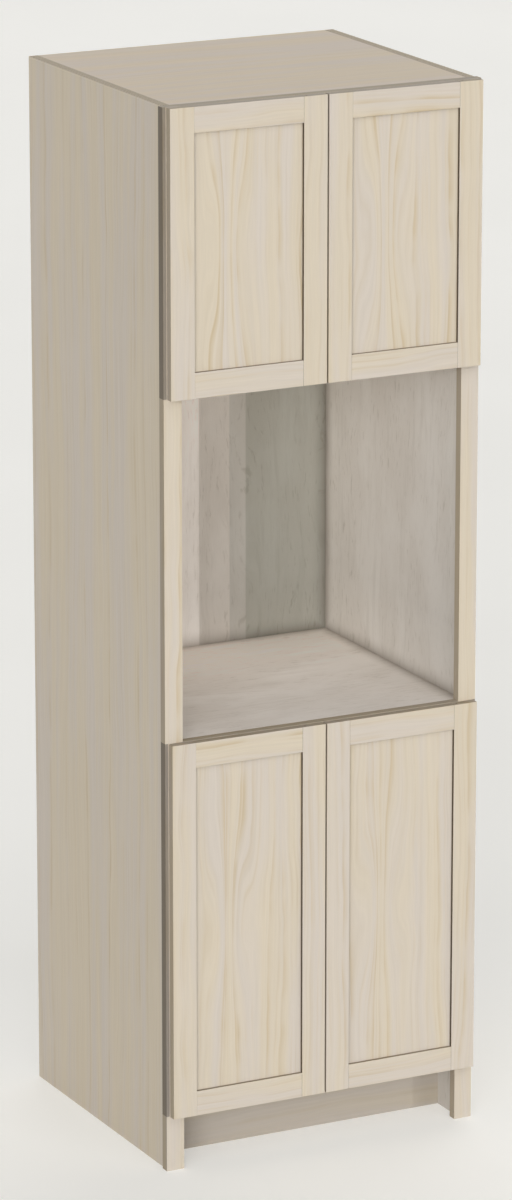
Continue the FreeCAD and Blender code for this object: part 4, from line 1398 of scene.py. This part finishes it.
@dataclass
class DoorBumpers:
    """The clear domes on the backs of the doors, by their free edges."""

    radius: float = 4.0 * MM
    height: float = 2.0 * MM
    crown: float = 1.3 * MM
    crown_steps: int = 5
    sides: int = 32

    def pattern(self, bench: Bench) -> bpy.types.Object:
        """Models a dome on its flat base."""
        bench.cylinder("door_bumper", self.radius, 0.0, self.height, self.sides)
        bench.pick_edges(lambda first, last: min(first.z, last.z) > self.height - MERGE_DISTANCE)
        bench.bevel(self.crown, self.crown_steps)
        return bench.take_off(60.0)

    def seat(self, box: Box) -> tuple[Vector, Vector]:
        """Gives the middle of a dome's base, on the back of its door."""
        return Vector((box.centre.x, box.low.y, box.centre.z)), BACKWARDS

    def build(self, bench: Bench) -> None:
        """Puts a dome at each place of each door."""
        pattern = self.pattern(bench)
        for place in door_places():
            stand_in(pattern, f"{place}_door_bumpers", f"{place}_door", RUBBER, self.seat, digits=1)
        bpy.data.objects.remove(pattern, do_unlink=True)


@dataclass
class ShelfSupports:
    """The spoon-shaped supports of the shelves: a plug in the hole and a tab with a web."""

    plug_radius: float = 2.5 * MM
    plug_length: float = 9.0 * MM
    plug_chamfer: float = 0.6 * MM
    plug_overlap: float = 0.8 * MM
    tab_length: float = 9.0 * MM
    tab_width: float = 10.0 * MM
    tab_height: float = 5.0 * MM
    plate: float = 1.6 * MM
    corner_share: float = 0.34
    corner_steps: int = 5
    web_inset: float = 0.8 * MM
    web_root: tuple[float, float, float] = (0.5, 1.0, 1.0)
    web_foot: tuple[float, float, float] = (0.8, 1.0, 0.45)
    plug_sides: int = 20
    rounding: float = 0.25 * MM

    def pattern(self, bench: Bench) -> bpy.types.Object:
        """Models a support with its tab along +Z and its carrying face towards +Y."""
        half_width = self.tab_width / 2
        top = self.tab_height / 2
        low = (-half_width, top - self.plate, 0.0)
        bench.block("shelf_support", low, (half_width, top, self.tab_length))
        bench.pick_edges(lambda first, last: min(first.z, last.z) > self.tab_length - MERGE_DISTANCE
                         and abs(first.x - last.x) < MERGE_DISTANCE)
        bench.bevel(self.corner_share * self.tab_width, self.corner_steps)
        self.web(bench, top - self.plate)
        self.plug(bench)
        support = bench.take_off()
        bevel = add_bevel(support, "rounding", self.rounding)
        bpy.context.view_layer.objects.active = support
        bpy.ops.object.modifier_apply(modifier=bevel.name)
        return support

    def web(self, bench: Bench, under: float) -> None:
        """Pulls a web out of the underside, shorter towards its foot."""
        bench.pick(lambda middle, normal: normal.y < -FACING)
        bpy.ops.mesh.inset(thickness=self.web_inset)
        bpy.ops.transform.resize(value=self.web_root, center_override=(0.0, under, 0.0))
        drop = self.tab_height - self.plate
        bpy.ops.mesh.extrude_region_move(TRANSFORM_OT_translate={"value": (0.0, -drop, 0.0)})
        bpy.ops.transform.resize(value=self.web_foot, center_override=(0.0, under - drop, 0.0))

    def plug(self, bench: Bench) -> None:
        """Adds the plug, from inside the tab out to its chamfered end."""
        bpy.ops.mesh.select_all(action="DESELECT")
        length = self.plug_length + self.plug_overlap
        bpy.ops.mesh.primitive_cylinder_add(vertices=self.plug_sides, radius=self.plug_radius, depth=length,
                                            location=(0.0, 0.0, self.plug_overlap - length / 2))
        end = -self.plug_length
        bench.pick_edges(lambda first, last: max(first.z, last.z) < end + MERGE_DISTANCE)
        bench.bevel(self.plug_chamfer, 2)

    def seat(self, box: Box) -> tuple[Vector, Vector]:
        """Gives the middle of the hole in the side panel, and the direction of the tab."""
        direction = inwards(box)
        wall = box.high.x - self.tab_length if direction.x > 0 else box.low.x + self.tab_length
        return Vector((wall, box.centre.y, box.centre.z)), direction

    def build(self, bench: Bench) -> None:
        """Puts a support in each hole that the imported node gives."""
        pattern = self.pattern(bench)
        stand_in(pattern, "shelf_supports", "cabinet", NICKEL, self.seat)
        bpy.data.objects.remove(pattern, do_unlink=True)


@dataclass
class CleatScrews:
    """The screws that hold the cleats of the oven deck."""

    screw: Screw = Screw("cleat_screw", 4.5 * MM, 2.6 * MM, 2.25 * MM, 32 * MM, pitch=2.2 * MM)

    def build(self, bench: Bench) -> None:
        """Puts in the screws."""
        self.screw.put(bench, {"cleat_screws": "cabinet"}, ZINC, Axis.X)


# ---------------------------------------------------------------- studio


@dataclass(frozen=True)
class Lamp:
    """A wide, far lamp: where it stands, and how bright a facing white surface becomes."""

    azimuth: float
    elevation: float
    spread: float
    level: float


@dataclass
class Studio:
    """Floor, lamps, world and camera."""

    lamps: tuple[Lamp, ...] = (
        Lamp(azimuth=-35, elevation=10, spread=30, level=0.45),
        Lamp(azimuth=-60, elevation=20, spread=40, level=0.168),
        Lamp(azimuth=-5, elevation=48, spread=50, level=0.20),
        Lamp(azimuth=24.9, elevation=6, spread=2, level=0.10),
        Lamp(azimuth=16.0, elevation=6, spread=2, level=0.05),
        Lamp(azimuth=140, elevation=12, spread=60, level=0.48),
    )
    world_level: float = 0.185
    backdrop: Tone = tone(234, 233, 229)
    floor_tone: Tone = tone(214, 213, 210)
    floor_cloud: Tone = tone(210, 209, 206)
    floor_glow: float = 0.465
    floor_size: float = 80.0
    floor_roughness: float = 0.85
    camera_place: tuple[float, float, float] = (-5.0907, -10.0281, 4.1778)
    camera_yaw: float = -0.4701
    camera_pitch: float = -0.2707
    lens: float = 175.2

    def build(self) -> None:
        """Sets up the studio."""
        self.lay_floor()
        self.light_world()
        for index, lamp in enumerate(self.lamps):
            self.hang(f"lamp_{index}", lamp)
        self.place_camera()
        bpy.context.scene.view_settings.view_transform = "Standard"

    def lay_floor(self) -> None:
        """Lays a plain pale floor."""
        bpy.ops.mesh.primitive_plane_add(size=self.floor_size, location=(0.0, 0.0, 0.0))
        floor = bpy.context.object
        floor.name = "studio_floor"
        material, graph, shader = new_material("studio_floor")
        cloud = graph.noise(graph.add("TexCoord").outputs["Object"])
        colour = graph.mix(graph.remap(cloud, (0.3, 0.7), (0.0, 1.0)), self.floor_tone, self.floor_cloud)
        graph.feed(shader.inputs["Base Color"], colour)
        shader.inputs["Roughness"].default_value = self.floor_roughness
        shader.inputs["Emission Color"].default_value = self.backdrop
        glow = graph.math("MULTIPLY", self.seen_directly(graph), self.floor_glow)
        graph.feed(shader.inputs["Emission Strength"], glow)
        floor.data.materials.append(material)

    def seen_directly(self, graph: Graph) -> Socket:
        """Gives 1 to rays from the camera, by reflection and through clear pieces, and 0 to the rest."""
        rays = graph.add("LightPath")
        seen = graph.math("MAXIMUM", rays.outputs["Is Camera Ray"], rays.outputs["Is Glossy Ray"])
        return graph.math("MAXIMUM", seen, rays.outputs["Is Transmission Ray"])

    def light_world(self) -> None:
        """Lights the world evenly, and shows a pale backdrop to the camera."""
        world = bpy.data.worlds.new("studio")
        world.use_nodes = True
        bpy.context.scene.world = world
        graph = Graph(world.node_tree)
        background = world.node_tree.nodes["Background"]
        background.inputs["Color"].default_value = self.backdrop
        seen = self.seen_directly(graph)
        strength = graph.math("MULTIPLY_ADD", seen, 1.0 - self.world_level, self.world_level)
        graph.feed(background.inputs["Strength"], strength)

    def hang(self, name: str, lamp: Lamp) -> None:
        """Hangs a lamp that shines on the unit from afar."""
        light = bpy.data.lights.new(name, "SUN")
        light.energy = math.pi * lamp.level
        light.angle = math.radians(lamp.spread)
        holder = bpy.data.objects.new(name, light)
        bpy.context.collection.objects.link(holder)
        holder.rotation_euler = Euler((math.radians(90 - lamp.elevation), 0.0, math.radians(lamp.azimuth)))

    def place_camera(self) -> None:
        """Places the camera where it sees the unit as the photograph does."""
        data = bpy.data.cameras.new("camera")
        data.sensor_width = 36.0
        data.lens = self.lens
        data.clip_end = 200.0
        camera = bpy.data.objects.new("camera", data)
        bpy.context.collection.objects.link(camera)
        camera.location = self.camera_place
        camera.rotation_euler = Euler((math.pi / 2 + self.camera_pitch, 0.0, self.camera_yaw))
        bpy.context.scene.camera = camera


def main() -> None:
    """Builds the looks in order and reports each piece."""
    logging.basicConfig(level=logging.INFO, format="%(message)s")
    bpy.ops.object.select_all(action="DESELECT")
    shop = WoodShop()
    Carcass(shop).build()
    FaceFrame(shop).build()
    for row in Row:
        for side in Side:
            Door(shop, row, side).build()
    bench = Bench()
    Hinges().build(bench)
    DoorBumpers().build(bench)
    ShelfSupports().build(bench)
    CleatScrews().build(bench)
    Studio().build()


if __name__ == "__main__":
    main()
